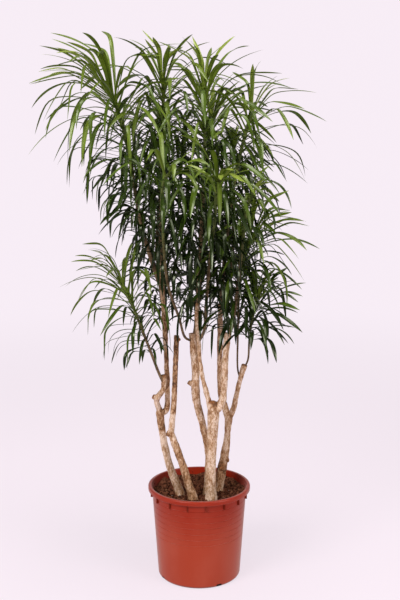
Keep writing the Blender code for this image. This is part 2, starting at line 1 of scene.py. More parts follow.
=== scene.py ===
# %% [markdown]
# An anita dracaena in its nursery pot
#
# The plant is built in the order in which it grows: a pot, the peat in it, five bare canes with
# their boughs, the leafy shoots on those, and over thirteen hundred strap leaves. The solid model is
# loaded first and never moved. Every new piece is set on it, in metres, and takes its place.

import math
import random

import bmesh
import bpy
import numpy as np
from mathutils import Matrix, Vector, noise


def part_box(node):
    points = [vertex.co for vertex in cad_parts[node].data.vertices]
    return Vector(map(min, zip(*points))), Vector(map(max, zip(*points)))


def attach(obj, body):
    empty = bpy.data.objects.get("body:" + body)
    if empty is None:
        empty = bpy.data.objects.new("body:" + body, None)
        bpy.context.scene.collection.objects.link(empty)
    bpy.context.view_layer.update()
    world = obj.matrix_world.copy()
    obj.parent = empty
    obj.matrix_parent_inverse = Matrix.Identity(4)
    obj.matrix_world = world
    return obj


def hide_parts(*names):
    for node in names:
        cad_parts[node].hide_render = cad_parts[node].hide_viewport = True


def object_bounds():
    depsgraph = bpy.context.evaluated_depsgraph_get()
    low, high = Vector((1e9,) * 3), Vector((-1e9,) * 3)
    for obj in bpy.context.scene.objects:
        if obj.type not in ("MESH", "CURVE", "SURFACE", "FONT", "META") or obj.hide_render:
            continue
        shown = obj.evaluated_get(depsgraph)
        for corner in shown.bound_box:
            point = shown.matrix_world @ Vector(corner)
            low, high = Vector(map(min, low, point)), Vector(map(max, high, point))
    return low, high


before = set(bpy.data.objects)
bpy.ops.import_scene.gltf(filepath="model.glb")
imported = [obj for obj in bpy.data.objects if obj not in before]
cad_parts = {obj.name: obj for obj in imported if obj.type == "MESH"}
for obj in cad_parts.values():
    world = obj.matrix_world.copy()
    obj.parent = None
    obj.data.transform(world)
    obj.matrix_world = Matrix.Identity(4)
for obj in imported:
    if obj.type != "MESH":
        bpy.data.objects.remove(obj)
cad_low, cad_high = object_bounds()
print("solid model from", [round(v, 3) for v in cad_low], "to", [round(v, 3) for v in cad_high])

# %% [markdown]
# Tools used all through
#
# Blender's operators act on whatever is selected, so each step starts from a clean selection.
# A finished piece keeps its object at the origin and has its place in its mesh, as the solids do.

# %% Selecting, naming and handing over
BODY = "root"


def work_on(*things):
    """Leaves edit mode and selects only these things, the first one active."""
    if bpy.context.mode != "OBJECT":
        bpy.ops.object.mode_set(mode="OBJECT")
    bpy.ops.object.select_all(action="DESELECT")
    for thing in things:
        thing.select_set(True)
    bpy.context.view_layer.objects.active = things[0]


def just_added(name):
    """Names the primitive that was just added and puts its place into its mesh."""
    thing = bpy.context.object
    work_on(thing)
    bpy.ops.object.transform_apply(location=True, rotation=True, scale=True)
    thing.name = name
    thing.data.name = name
    return thing


def joined(things, name):
    """Several things made one."""
    work_on(*things)
    if len(things) > 1:
        bpy.ops.object.join()
    things[0].name = name
    things[0].data.name = name
    return things[0]


def apply_modifier(thing, kind, **settings):
    """Adds a modifier, sets it and applies it at once."""
    work_on(thing)
    step = thing.modifiers.new(kind.title(), kind)
    for name, value in settings.items():
        setattr(step, name, value)
    bpy.ops.object.modifier_apply(modifier=step.name)


def face_outwards(thing):
    """Turns every face of a closed mesh outwards."""
    work_on(thing)
    bpy.ops.object.mode_set(mode="EDIT")
    bpy.ops.mesh.select_all(action="SELECT")
    bpy.ops.mesh.normals_make_consistent(inside=False)
    bpy.ops.object.mode_set(mode="OBJECT")


def triangle_count(thing):
    """How many triangles a mesh has once its faces are split."""
    mesh = thing.data
    return len(mesh.loops) - 2 * len(mesh.polygons)


def hand_over(piece, finish, slot, *nodes):
    """Gives a finished piece its material and puts it in the place of its nodes."""
    piece.data.materials.clear()
    piece.data.materials.append(finish)
    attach(piece, BODY)
    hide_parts(*nodes)
    print(f"{piece.name}: {triangle_count(piece)} triangles for {len(nodes)} nodes")


# %% Meshes from arrays
def mesh_piece(name, points, faces, corners=None):
    """One object from arrays of points and faces, with a UV for each point if given."""
    mesh = bpy.data.meshes.new(name)
    mesh.from_pydata(points.tolist(), [], faces.tolist())
    mesh.shade_smooth()
    if corners is not None:
        layer = mesh.uv_layers.new(name="UVMap")
        layer.data.foreach_set("uv", corners[faces.ravel()].ravel())
    thing = bpy.data.objects.new(name, mesh)
    bpy.context.scene.collection.objects.link(thing)
    return thing


def scattered(name, shape_points, shape_faces, matrices, offsets):
    """Copies of a small shape, each turned and sized by its own matrix, as one joined mesh."""
    points = np.einsum("nij,pj->npi", matrices, shape_points) + offsets[:, None, :]
    steps = np.arange(len(offsets))[:, None, None] * len(shape_points)
    faces = shape_faces[None, :, :] + steps
    return mesh_piece(name, points.reshape(-1, 3), faces.reshape(-1, shape_faces.shape[1]))


def random_turns(count, dice):
    """Evenly spread random rotation matrices."""
    spin = dice.normal(size=(count, 4))
    w, x, y, z = (spin / np.linalg.norm(spin, axis=1, keepdims=True)).T
    return np.stack(
        [
            np.stack([1 - 2 * (y * y + z * z), 2 * (x * y - z * w), 2 * (x * z + y * w)], axis=1),
            np.stack([2 * (x * y + z * w), 1 - 2 * (x * x + z * z), 2 * (y * z - x * w)], axis=1),
            np.stack([2 * (x * z - y * w), 2 * (y * z + x * w), 1 - 2 * (x * x + y * y)], axis=1),
        ],
        axis=1,
    )


# %% [markdown]
# Writing materials
#
# A material is a small network of nodes. Two helpers keep it readable: `Number` wraps a socket, so
# that sums on it look like sums, and `Finish.node` makes any other node, settings first.

# %% Shader maths as plain expressions
SHEEN_ROUGHNESS = 0.40


class Number:
    """A socket that carries a number. Each operator on it adds the Math node that it stands for."""

    def __init__(self, finish, socket):
        self.finish = finish
        self.socket = socket

    def __add__(self, other):
        return self.finish.maths("ADD", self, other)

    def __radd__(self, other):
        return self.finish.maths("ADD", other, self)

    def __sub__(self, other):
        return self.finish.maths("SUBTRACT", self, other)

    def __rsub__(self, other):
        return self.finish.maths("SUBTRACT", other, self)

    def __mul__(self, other):
        return self.finish.maths("MULTIPLY", self, other)

    def __rmul__(self, other):
        return self.finish.maths("MULTIPLY", other, self)

    def __pow__(self, other):
        return self.finish.maths("POWER", self, other)


class Finish:
    """One material: a Principled shader and the nodes that feed it."""

    def __init__(self, name, roughness, gloss=0.5, coat=0.0, coat_roughness=0.3, sheen=0.0):
        self.material = bpy.data.materials.new(name)
        self.material.use_nodes = True
        self.tree = self.material.node_tree
        self.shader = self.tree.nodes["Principled BSDF"]
        self.feed(self.shader.inputs["Roughness"], roughness)
        self.feed(self.shader.inputs["Specular IOR Level"], gloss)
        self.feed(self.shader.inputs["Coat Weight"], coat)
        self.feed(self.shader.inputs["Sheen Weight"], sheen)
        self.feed(self.shader.inputs["Sheen Roughness"], SHEEN_ROUGHNESS)
        self.feed(self.shader.inputs["Coat Roughness"], coat_roughness)

    def feed(self, socket, value):
        """Links a Number to a socket, or sets the socket to a plain value."""
        if isinstance(value, Number):
            self.tree.links.new(value.socket, socket)
        else:
            socket.default_value = value

    def node(self, kind, settings, sockets, output=0):
        """A node of any kind, its settings set before its sockets."""
        made = self.tree.nodes.new("ShaderNode" + kind)
        for name, value in settings.items():
            setattr(made, name, value)
        for name, value in sockets.items():
            self.feed(made.inputs[name], value)
        return Number(self, made.outputs[output])

    def maths(self, operation, *values):
        """A Math node on numbers, each a plain one or a Number."""
        return self.node("Math", {"operation": operation}, dict(enumerate(values)))

    def place(self):
        """Where a point of the surface is, in metres."""
        return self.node("TexCoord", {}, {}, "Object")

    def attribute(self, name):
        """A number kept with each point of the mesh."""
        return self.node("Attribute", {"attribute_name": name}, {}, "Fac")

    def stretched(self, vector, scale):
        """The same pattern place, stretched along the axes whose scale is small."""
        return self.node("VectorMath", {"operation": "MULTIPLY"}, {0: vector, 1: scale})

    def clouds(self, vector, scale, detail=3.0, roughness=0.55):
        """Soft noise from 0 to 1, scale being spots to the metre."""
        sockets = {"Vector": vector, "Scale": scale, "Detail": detail, "Roughness": roughness}
        return self.node("TexNoise", {}, sockets, "Fac")

    def between(self, value, low, high):
        """0 below low, 1 above high and a smooth step between them."""
        sockets = {"Value": value, "From Min": low, "From Max": high}
        return self.node("MapRange", {"interpolation_type": "SMOOTHSTEP"}, sockets)

    def mix(self, share, first, second):
        """A colour between two others, each a plain colour or another mix."""
        first, second = [c if isinstance(c, Number) else (*c, 1.0) for c in (first, second)]
        return self.node("Mix", {"data_type": "RGBA"}, {0: share, 6: first, 7: second}, 2)

    def colour(self, value):
        """Gives the shader its base colour."""
        self.feed(self.shader.inputs["Base Color"], value)

    def relief(self, height, distance, strength=1.0):
        """Fine relief: a height from 0 to 1, and the depth in metres that it stands for."""
        sockets = {"Height": height, "Distance": distance, "Strength": strength}
        self.feed(self.shader.inputs["Normal"], self.node("Bump", {}, sockets))


# %% [markdown]
# The studio
#
# The plant stands on a pale floor that runs on without an edge. The floor takes soft shadows near
# the pot and turns slowly into the light of the backdrop further out, so that no horizon shows. It
# is left out of reflections, because so large a glowing sheet would wash out the pot's red.

# %% Floor and backdrop
BACKDROP = (0.935, 0.85, 0.92)
PAPER = (0.86, 0.76, 0.87)
FLOOR_SIZE = 40.0
FLOOR_NEAR = 1.2
FLOOR_FAR = 4.5
FLOOR_GLOW = 0.77


def add_floor():
    """A large sheet that is paper near the pot and shines like the backdrop far from it."""
    bpy.ops.mesh.primitive_plane_add(size=FLOOR_SIZE, location=(0, 0, 0))
    floor = just_added("studio_floor")
    paper = Finish("studio_paper", roughness=0.9)
    paper.colour((*PAPER, 1.0))
    distance = paper.node("VectorMath", {"operation": "LENGTH"}, {0: paper.place()}, "Value")
    glow = paper.node("Emission", {}, {"Color": (*BACKDROP, 1.0), "Strength": 1.0})
    share = FLOOR_GLOW + (1 - FLOOR_GLOW) * paper.between(distance, FLOOR_NEAR, FLOOR_FAR)
    surface = Number(paper, paper.shader.outputs["BSDF"])
    mixed = paper.node("MixShader", {}, {0: share, 1: surface, 2: glow})
    paper.feed(paper.tree.nodes["Material Output"].inputs["Surface"], mixed)
    floor.data.materials.append(paper.material)
    floor.visible_glossy = False


add_floor()

# %% World light
WORLD_LIGHT = (0.96, 0.93, 0.92)
WORLD_FRONT = 0.04
WORLD_BACK = 0.42


def add_world():
    """Pale all round to the eye, and as light dimmer from the side that the camera stands on."""
    world = bpy.data.worlds.new("studio")
    bpy.context.scene.world = world
    world.use_nodes = True
    nodes, links = world.node_tree.nodes, world.node_tree.links
    seen = nodes["Background"]
    seen.inputs["Color"].default_value = (*BACKDROP, 1.0)
    light = nodes.new("ShaderNodeBackground")
    light.inputs["Color"].default_value = (*WORLD_LIGHT, 1.0)
    direction = nodes.new("ShaderNodeTexCoord")
    parts = nodes.new("ShaderNodeSeparateXYZ")
    strength = nodes.new("ShaderNodeMapRange")
    strength.inputs["From Min"].default_value = -1.0
    strength.inputs["To Min"].default_value = WORLD_FRONT
    strength.inputs["To Max"].default_value = WORLD_BACK
    path = nodes.new("ShaderNodeLightPath")
    choice = nodes.new("ShaderNodeMixShader")
    links.new(direction.outputs["Generated"], parts.inputs["Vector"])
    links.new(parts.outputs["Y"], strength.inputs["Value"])
    links.new(strength.outputs["Result"], light.inputs["Strength"])
    links.new(path.outputs["Is Camera Ray"], choice.inputs["Fac"])
    links.new(light.outputs["Background"], choice.inputs[1])
    links.new(seen.outputs["Background"], choice.inputs[2])
    links.new(choice.outputs["Shader"], nodes["World Output"].inputs["Surface"])


add_world()

# %% Lamps
# Each softbox: name, place, side in metres, power in watts
LAMPS = (
    ("key_softbox", (-3.1, -3.4, 3.4), 2.5, 240.0),
    ("fill_softbox", (3.6, -2.8, 2.3), 2.1, 106.0),
    ("top_softbox", (0.3, -0.6, 4.7), 2.4, 120.0),
)
LAMP_AIM = Vector((0.0, 0.0, 0.95))
LAMP_COLOUR = (1.0, 0.96, 0.91)

for name, place, side, power in LAMPS:
    bpy.ops.object.light_add(type="AREA", location=place)
    lamp = bpy.context.object
    lamp.name = name
    lamp.data.size = side
    lamp.data.energy = power
    lamp.data.color = LAMP_COLOUR
    lamp.visible_camera = False
    lamp.rotation_euler = (LAMP_AIM - lamp.location).to_track_quat("-Z", "Y").to_euler()

# %% [markdown]
# The camera
#
# The rim and the foot of a round pot are two circles of known height, so the two ellipses that they
# make in a picture give the camera's distance, height and tilt.

# %% Camera
CAMERA_PLACE = (0.0025, -3.0, 1.415)
CAMERA_TILT = 79.43
CAMERA_LENS = 62.08
CAMERA_SENSOR = 36.0

bpy.ops.object.camera_add(location=CAMERA_PLACE, rotation=(math.radians(CAMERA_TILT), 0, 0))
camera = bpy.context.object
camera.name = "camera"
camera.data.lens = CAMERA_LENS
camera.data.sensor_width = CAMERA_SENSOR
bpy.context.scene.camera = camera
bpy.context.scene.view_settings.view_transform = "Standard"

# %% [markdown]
# The pot
#
# A nursery pot is moulded in one piece: a thin tapered wall with a few shallow grooves round it, a
# rolled lip, short ribs under the lip and drain gaps at the foot. It is drawn as a disc that is
# pulled up ring by ring, over the lip and down the inside to the floor, which keeps it one closed
# wall. Each groove is a V of three rings, because a step would catch the floor's light on its ledge.

# %% Pot sizes
pot_low, pot_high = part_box("pot")
POT_HEIGHT = pot_high.z
LIP_RADIUS = (pot_high.x - pot_low.x) / 2
POT_SIDES = 180
LIP_HEIGHT = 0.014
LIP_ROUNDING = 0.0042
LIP_HEM = 0.0014
NECK = POT_HEIGHT - LIP_HEIGHT
NECK_RADIUS = 0.1432
MOUTH_RADIUS = 0.1445
FOOT_RADIUS = 0.1255
FOOT_ROUNDING = 0.011
POT_WALL = 0.0026
POT_FLOOR = 0.008
RIB_LENGTH = 0.021
RING_TOP = NECK - RIB_LENGTH - 0.0015
RING_SPACING = 0.0184
RING_COUNT = 7
RING_DEPTH = 0.0009
RING_WIDTH = 0.0014


def pot_radius(z):
    """The outer wall's radius at a height between its rounded foot and its neck."""
    return FOOT_RADIUS + (NECK_RADIUS - FOOT_RADIUS) * (z - FOOT_ROUNDING) / (NECK - FOOT_ROUNDING)


def arc(radius, z, rounding, start, end, steps):
    """Points (radius, z) on a round corner between two angles in degrees."""
    angles = [math.radians(start + (end - start) * i / steps) for i in range(steps + 1)]
    return [(radius + rounding * math.cos(a), z + rounding * math.sin(a)) for a in angles]


def pot_profile():
    """The wall's line from the underside's edge up the outside, over the lip and down inside."""
    line = arc(FOOT_RADIUS - FOOT_ROUNDING, FOOT_ROUNDING, FOOT_ROUNDING, -90, 0, 7)
    for i in reversed(range(RING_COUNT)):
        z = RING_TOP - RING_SPACING * i
        low, high = z - RING_WIDTH / 2, z + RING_WIDTH / 2
        line += [(pot_radius(low), low), (pot_radius(z) - RING_DEPTH, z), (pot_radius(high), high)]
    line += [(NECK_RADIUS, NECK), (LIP_RADIUS - LIP_HEM, NECK)]
    line += arc(LIP_RADIUS - LIP_HEM, NECK + LIP_HEM, LIP_HEM, -60, 0, 3)
    line += arc(LIP_RADIUS - LIP_ROUNDING, POT_HEIGHT - LIP_ROUNDING, LIP_ROUNDING, 0, 90, 6)
    inner_round = LIP_ROUNDING / 2
    line += arc(MOUTH_RADIUS + inner_round, POT_HEIGHT - inner_round, inner_round, 90, 180, 4)
    line += [(NECK_RADIUS - POT_WALL, NECK - LIP_ROUNDING)]
    line += [(pot_radius(POT_FLOOR) - POT_WALL, POT_FLOOR)]
    return line


# %% Pull the pot up
def pull_rings(profile):
    """Extrudes the selected cap from ring to ring of a profile of (radius, z)."""
    for (radius, z), (next_radius, next_z) in zip(profile, profile[1:]):
        bpy.ops.mesh.extrude_region_move(TRANSFORM_OT_translate={"value": (0, 0, next_z - z)})
        share = next_radius / radius
        bpy.ops.transform.resize(value=(share, share, 1), center_override=(0, 0, next_z))


profile = pot_profile()
bpy.ops.mesh.primitive_circle_add(
    vertices=POT_SIDES, radius=profile[0][0], fill_type="NGON", location=(0, 0, profile[0][1])
)
pot = just_added("pot_tub")
bpy.ops.object.mode_set(mode="EDIT")
bpy.ops.mesh.select_all(action="SELECT")
pull_rings(profile)
face_outwards(pot)
print("pot", round(LIP_RADIUS * 2, 3), "m wide and", round(POT_HEIGHT, 3), "m high")

# %% [markdown]
# Between two ribs at the front lies a slightly raised panel. Its faces are picked by place and
# pulled out by about a millimetre. The four drain gaps at the foot are cut with blocks, as a mould
# would leave them.

# %% Panel and drain gaps
RIB_COUNT = 16
RIB_TURN = 8.4
PANEL_STEP = 0.0011
SMOOTH_ANGLE = math.radians(35)
NOTCH_COUNT = 4
NOTCH_TURN = 29.0
NOTCH_SIZE = (0.018, 0.011, 0.022)


def front_angle(place):
    """Degrees round the pot from its front, growing towards +X."""
    return math.degrees(math.atan2(place.x, -place.y))


def raise_panel(thing):
    """Pulls out the wall's faces between the grooves and the lip, from one rib to the next."""
    work_on(thing)
    bpy.ops.object.mode_set(mode="EDIT")
    bpy.ops.mesh.select_all(action="DESELECT")
    mesh = bmesh.from_edit_mesh(thing.data)
    low_angle, high_angle = RIB_TURN - 360 / RIB_COUNT, RIB_TURN
    for face in mesh.faces:
        middle = face.calc_center_median()
        outside = math.hypot(middle.x, middle.y) > NECK_RADIUS - 2 * POT_WALL / 3
        high = RING_TOP + RING_WIDTH < middle.z < NECK
        between_ribs = low_angle < front_angle(middle) < high_angle
        if outside and high and between_ribs and abs(face.normal.z) < 0.5:
            face.select_set(True)
    bmesh.update_edit_mesh(thing.data)
    bpy.ops.mesh.extrude_region_shrink_fatten(TRANSFORM_OT_shrink_fatten={"value": PANEL_STEP})
    bpy.ops.object.mode_set(mode="OBJECT")


def copies_round_pot(thing, count, first_turn, name):
    """Copies of a thing at the pot's front, turned evenly round it and joined."""
    made = []
    for i in range(count):
        copy = thing.copy()
        copy.data = thing.data.copy()
        bpy.context.scene.collection.objects.link(copy)
        turn = math.radians(first_turn + 360 * i / count)
        copy.data.transform(Matrix.Rotation(turn, 4, "Z"))
        made.append(copy)
    bpy.data.objects.remove(thing)
    return joined(made, name)


raise_panel(pot)
bpy.ops.mesh.primitive_cube_add(size=1, location=(0, -FOOT_RADIUS, 0), scale=NOTCH_SIZE)
cutter = copies_round_pot(just_added("notch"), NOTCH_COUNT, NOTCH_TURN, "notches")
apply_modifier(pot, "BOOLEAN", operation="DIFFERENCE", object=cutter)
bpy.data.objects.remove(cutter)
work_on(pot)
bpy.ops.object.shade_smooth_by_angle(angle=SMOOTH_ANGLE)

# %% Ribs
RIB_WIDTH = 0.0030
RIB_REACH = 0.1487
RIB_BEVEL = 0.0006

rib_depth = RIB_REACH - (NECK_RADIUS - POT_WALL)
bpy.ops.mesh.primitive_cube_add(
    size=1,
    location=(0, -(RIB_REACH - rib_depth / 2), NECK - RIB_LENGTH / 2 + LIP_HEM),
    scale=(RIB_WIDTH, rib_depth, RIB_LENGTH + 2 * LIP_HEM),
)
rib = just_added("rib")
bpy.ops.object.mode_set(mode="EDIT")
bpy.ops.mesh.select_all(action="SELECT")
bpy.ops.mesh.bevel(offset=RIB_BEVEL, segments=2)
bpy.ops.object.mode_set(mode="OBJECT")
ribs = copies_round_pot(rib, RIB_COUNT, RIB_TURN, "pot_ribs")
bpy.ops.object.shade_smooth_by_angle(angle=SMOOTH_ANGLE)

# %% [markdown]
# The plastic is a warm brick red, painted darker under the lip as shade, and worn and a little dustier
# lower down. Its gloss is soft, with slow clouds in the roughness and a very fine grain, and a pale
# sheen stands for the dust that makes the sides look hazy. Painted shade darkens the drain gaps and
# the line where the pot stands. The ribs get a darker mix of the same plastic, painted shade, as no
# light reaches between them.

# %% Plastic finish
PLASTIC_HAZE = (1.0, 0.90, 0.87, 1.0)
WALL_GLOSS, WALL_SHEEN = 0.36, 0.44
RIB_GLOSS, RIB_SHEEN = 0.12, 0.08
# The colour under the lip is painted shade, and so is the ribs' darker colour.
PLASTIC_UNDER_LIP_SHADE = (0.300, 0.015, 0.001)
PLASTIC_SHADED = (0.190, 0.015, 0.004)
PLASTIC_WORN = (0.375, 0.040, 0.013)
PLASTIC_DUSTY = (0.420, 0.068, 0.034)
# A near black, painted shade in the drain gaps and along the foot, with the heights and share of it there.
PLASTIC_PAINTED_SHADE = (0.016, 0.007, 0.005)
FOOT_SHADE_LOW, FOOT_SHADE_HIGH = 0.0028, 0.0075
FOOT_SHADE_SHARE = 0.75
GAP_BACK = FOOT_RADIUS - NOTCH_SIZE[1] / 2
GAP_TOP = NOTCH_SIZE[2] / 2
# Heights over which the painted shade under the lip gives way to the worn colour.
SHADE_AND_WEAR_LOW, SHADE_AND_WEAR_HIGH = 0.10, 0.265


# Painted shade: where the drain gaps and the foot are darkened.
def painted_shade_mask(finish, place, height):
    """1 at the back of the drain gaps, nearly so where the wall meets the floor, and 0 elsewhere."""
    level = finish.stretched(place, (1.0, 1.0, 0.0))
    out = finish.node("VectorMath", {"operation": "LENGTH"}, {0: level}, "Value")
    at_back = 1 - finish.between(out, GAP_BACK + 0.0002, GAP_BACK + 0.0009)
    under_top = 1 - finish.between(height, GAP_TOP, GAP_TOP + 0.001)
    standing = 1 - finish.between(height, FOOT_SHADE_LOW, FOOT_SHADE_HIGH)
    return finish.maths("MAXIMUM", at_back * under_top, FOOT_SHADE_SHARE * standing)


def plastic_finish(name, under_lip_shade, gloss, sheen):
    """Moulded plastic: painted shade under the lip, worn and dusty lower down, painted shade at the foot.
    """
    finish = Finish(name, roughness=0.42, gloss=gloss, sheen=sheen)
    finish.feed(finish.shader.inputs["Sheen Tint"], PLASTIC_HAZE)
    place = finish.place()
    dust = finish.clouds(finish.stretched(place, (1.0, 1.0, 0.45)), 14.0, detail=5.0)
    grain = finish.clouds(place, 900.0, detail=2.0)
    scuffs = finish.clouds(finish.stretched(place, (1.0, 1.0, 6.0)), 60.0, detail=6.0, roughness=0.7)
    marks = finish.between(scuffs, 0.63, 0.78)
    film = finish.between(dust, 0.35, 0.75) * 0.45 + marks * 0.25
    height = finish.node("SeparateXYZ", {}, {0: place}, "Z")
    # Darker towards the lip: painted shade.
    low_down = 1 - finish.between(height, SHADE_AND_WEAR_LOW, SHADE_AND_WEAR_HIGH)
    body = finish.mix(low_down, under_lip_shade, PLASTIC_WORN)
    body = finish.mix(film * (0.35 + 0.65 * low_down), body, PLASTIC_DUSTY)
    # Painted shade in the drain gaps and along the foot.
    finish.colour(finish.mix(painted_shade_mask(finish, place, height), body, PLASTIC_PAINTED_SHADE))
    finish.feed(finish.shader.inputs["Roughness"], 0.26 + 0.12 * dust + 0.08 * marks)
    finish.relief(grain + 0.6 * scuffs, 0.00010)
    return finish.material


wall_plastic = plastic_finish("brick_red_plastic", PLASTIC_UNDER_LIP_SHADE, WALL_GLOSS, WALL_SHEEN)
rib_plastic = plastic_finish("shaded_plastic", PLASTIC_SHADED, RIB_GLOSS, RIB_SHEEN)
hand_over(pot, wall_plastic, "pot", "pot")
hand_over(ribs, rib_plastic, "pot", "pot")

# %% [markdown]
# The peat
#
# Potting peat is dark, loose and uneven, and it is banked up against the wall at the back. A disc is
# drawn inwards ring by ring, its points are lifted by smooth noise of three sizes, and thousands of
# small crumbs lie on it.

# %% Peat bed
soil_low, soil_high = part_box("soil")
PEAT_LEVEL = 0.262
PEAT_RINGS = 46
PEAT_SIDES = 150
PEAT_EDGE_DROP = 0.012
PEAT_SETTLED = 0.002
PEAT_SLOPE = 0.030
PEAT_SEED = Vector((3.1, 7.7, 1.3))
# Lumps of each size: how high in metres, and how many to the metre
PEAT_LUMPS = ((0.0080, 30), (0.0062, 75), (0.0022, 200))
# The bank at the wall and the rise at the back: how steep, and from which share of the radius
WALL_BANK, WALL_BANK_START = 0.0085, 0.55
BACK_RISE, BACK_RISE_START = 0.006, 0.45


def peat_height(x, y):
    """How high the peat lies: lumps, a bank at the wall, and a slope up to the back."""
    radius = math.hypot(x, y) / LIP_RADIUS
    place = Vector((x, y, 0)) + PEAT_SEED
    lumps = sum(height * noise.noise(place * scale) for height, scale in PEAT_LUMPS)
    bank = WALL_BANK * max(0.0, radius - WALL_BANK_START) * (1.2 + 0.8 * noise.noise(place * 16))
    rise = PEAT_SLOPE * y + BACK_RISE * max(0.0, y / LIP_RADIUS - BACK_RISE_START)
    return PEAT_LEVEL - PEAT_SETTLED + lumps + bank + rise


peat_radius = pot_radius(PEAT_LEVEL) - POT_WALL - 0.0004
bpy.ops.mesh.primitive_circle_add(
    vertices=PEAT_SIDES, radius=peat_radius, fill_type="NGON",
    location=(0, 0, PEAT_LEVEL - PEAT_EDGE_DROP),
)
peat = just_added("peat_bed")
bpy.ops.object.mode_set(mode="EDIT")
bpy.ops.mesh.select_all(action="SELECT")
peat_line = [(peat_radius, PEAT_LEVEL - PEAT_EDGE_DROP), (peat_radius, PEAT_LEVEL)]
peat_line += [(peat_radius * (1 - i / PEAT_RINGS), PEAT_LEVEL) for i in range(1, PEAT_RINGS)]
pull_rings(peat_line)
bpy.ops.mesh.poke()
face_outwards(peat)
for vertex in peat.data.vertices:
    if vertex.co.z > PEAT_LEVEL - PEAT_EDGE_DROP / 2:
        vertex.co.z = peat_height(vertex.co.x, vertex.co.y)
peat.data.shade_smooth()

# %% Peat and crumb finishes
PEAT_DARK = (0.050, 0.017, 0.010)
PEAT_BROWN = (0.250, 0.092, 0.052)


def peat_finish(name, dark, light):
    """Dull crumbly stuff, in patches and specks of two colours."""
    finish = Finish(name, roughness=0.95, gloss=0.05)
    place = finish.place()
    patches = finish.clouds(place, 90.0, detail=6.0, roughness=0.7)
    specks = finish.clouds(place, 520.0, detail=3.0, roughness=0.6)
    share = finish.between(0.6 * patches + 0.4 * specks, 0.38, 0.62)
    finish.colour(finish.mix(share, dark, light))
    finish.relief(patches * 0.5 + specks, 0.0012)
    return finish.material


hand_over(peat, peat_finish("damp_peat", PEAT_DARK, PEAT_BROWN), "soil", "soil")

# %% [markdown]
# The crumbs are one ball of twenty faces, copied with its own size, squash and turn each time. Clods,
# peat fibres, bark chips, straws and a few white grains are the same shape in other sizes and
# colours. Long ones are laid nearly flat, and round ones are turned any way.

# %% Crumbs
# Each kind: name, how many, smallest and largest radius, stretch, dark and light colour
CRUMB_KINDS = (
    ("peat_clods", 70, 0.0030, 0.0085, (1.2, 1.0, 0.7), (0.05, 0.017, 0.010), (0.22, 0.08, 0.045)),
    ("peat_crumbs_dark", 2300, 0.0009, 0.0046, (1.0, 1.0, 0.8), (0.03, 0.011, 0.006), (0.105, 0.037, 0.02)),
    ("peat_crumbs_brown", 1800, 0.0008, 0.0036, (1.3, 0.9, 0.8), (0.10, 0.035, 0.019), (0.28, 0.11, 0.06)),
    ("peat_fibres", 420, 0.0006, 0.0011, (6.5, 0.6, 0.6), (0.16, 0.066, 0.034), (0.40, 0.21, 0.12)),
    ("peat_chips", 100, 0.0014, 0.0034, (1.9, 1.0, 0.45), (0.20, 0.10, 0.05), (0.48, 0.28, 0.16)),
    ("peat_straws", 26, 0.0009, 0.0014, (9.5, 0.42, 0.42), (0.30, 0.15, 0.05), (0.62, 0.40, 0.17)),
    ("white_grains", 46, 0.0010, 0.0019, (1.0, 1.0, 0.9), (0.55, 0.50, 0.44), (0.80, 0.76, 0.70)),
)
CRUMB_SINK = 0.25
CRUMB_SMALLNESS = 2.4
CRUMB_SCATTER = 0.25
LONG_CRUMB = 1.5

bpy.ops.mesh.primitive_ico_sphere_add(subdivisions=1, radius=1.0)
ball = just_added("crumb_ball")
ball_points = np.array([v.co for v in ball.data.vertices])
ball_faces = np.array([f.vertices for f in ball.data.polygons])
bpy.data.objects.remove(ball)


def lying_turns(angle, dice):
    """Turns about the upright axis, each with one end a little raised."""
    turns = np.zeros((len(angle), 3, 3))
    turns[:, 0, 0], turns[:, 0, 1] = np.cos(angle), -np.sin(angle)
    turns[:, 1, 0], turns[:, 1, 1] = np.sin(angle), np.cos(angle)
    turns[:, 2, 2] = 1.0
    turns[:, 2, 0] = dice.uniform(-0.35, 0.55, len(angle))
    return turns


def add_crumbs(name, count, smallest, largest, stretch, dark, light):
    """One kind of crumb, strewn over the peat as one joined piece."""
    dice = np.random.default_rng(len(name) * 1000 + count)
    reach = peat_radius - 2 * largest
    radius = reach * np.sqrt(dice.random(count))
    angle = dice.random(count) * 2 * math.pi
    x, y = radius * np.cos(angle), radius * np.sin(angle)
    size = smallest + (largest - smallest) * dice.random(count) ** CRUMB_SMALLNESS
    z = np.array([peat_height(a, b) for a, b in zip(x, y)]) + size * CRUMB_SINK
    spread = dice.uniform(1 - CRUMB_SCATTER, 1 + CRUMB_SCATTER, (count, 3)) * size[:, None] * stretch
    turns = random_turns(count, dice)
    if stretch[0] > LONG_CRUMB:
        turns = lying_turns(angle * 7, dice)
    matrices = turns * spread[:, None, :]
    crumbs = scattered(name, ball_points, ball_faces, matrices, np.stack([x, y, z], axis=1))
    hand_over(crumbs, peat_finish(name, dark, light), "soil", "soil")


for kind in CRUMB_KINDS:
    add_crumbs(*kind)

# %% [markdown]
# Canes and boughs
#
# An old dracaena has been cut back several times. Each cut has left a flat dark end, and one or two
# boughs grow on from just below it. The bark is pale tan, smooth from afar, with fine rings where
# leaves once sat and with browner and paler stretches.
#
# Each limb is a disc pulled along its route. A cane, its boughs and its stubs are then fused into one
# skin by a voxel remesh, which rounds the forks off as growth does.

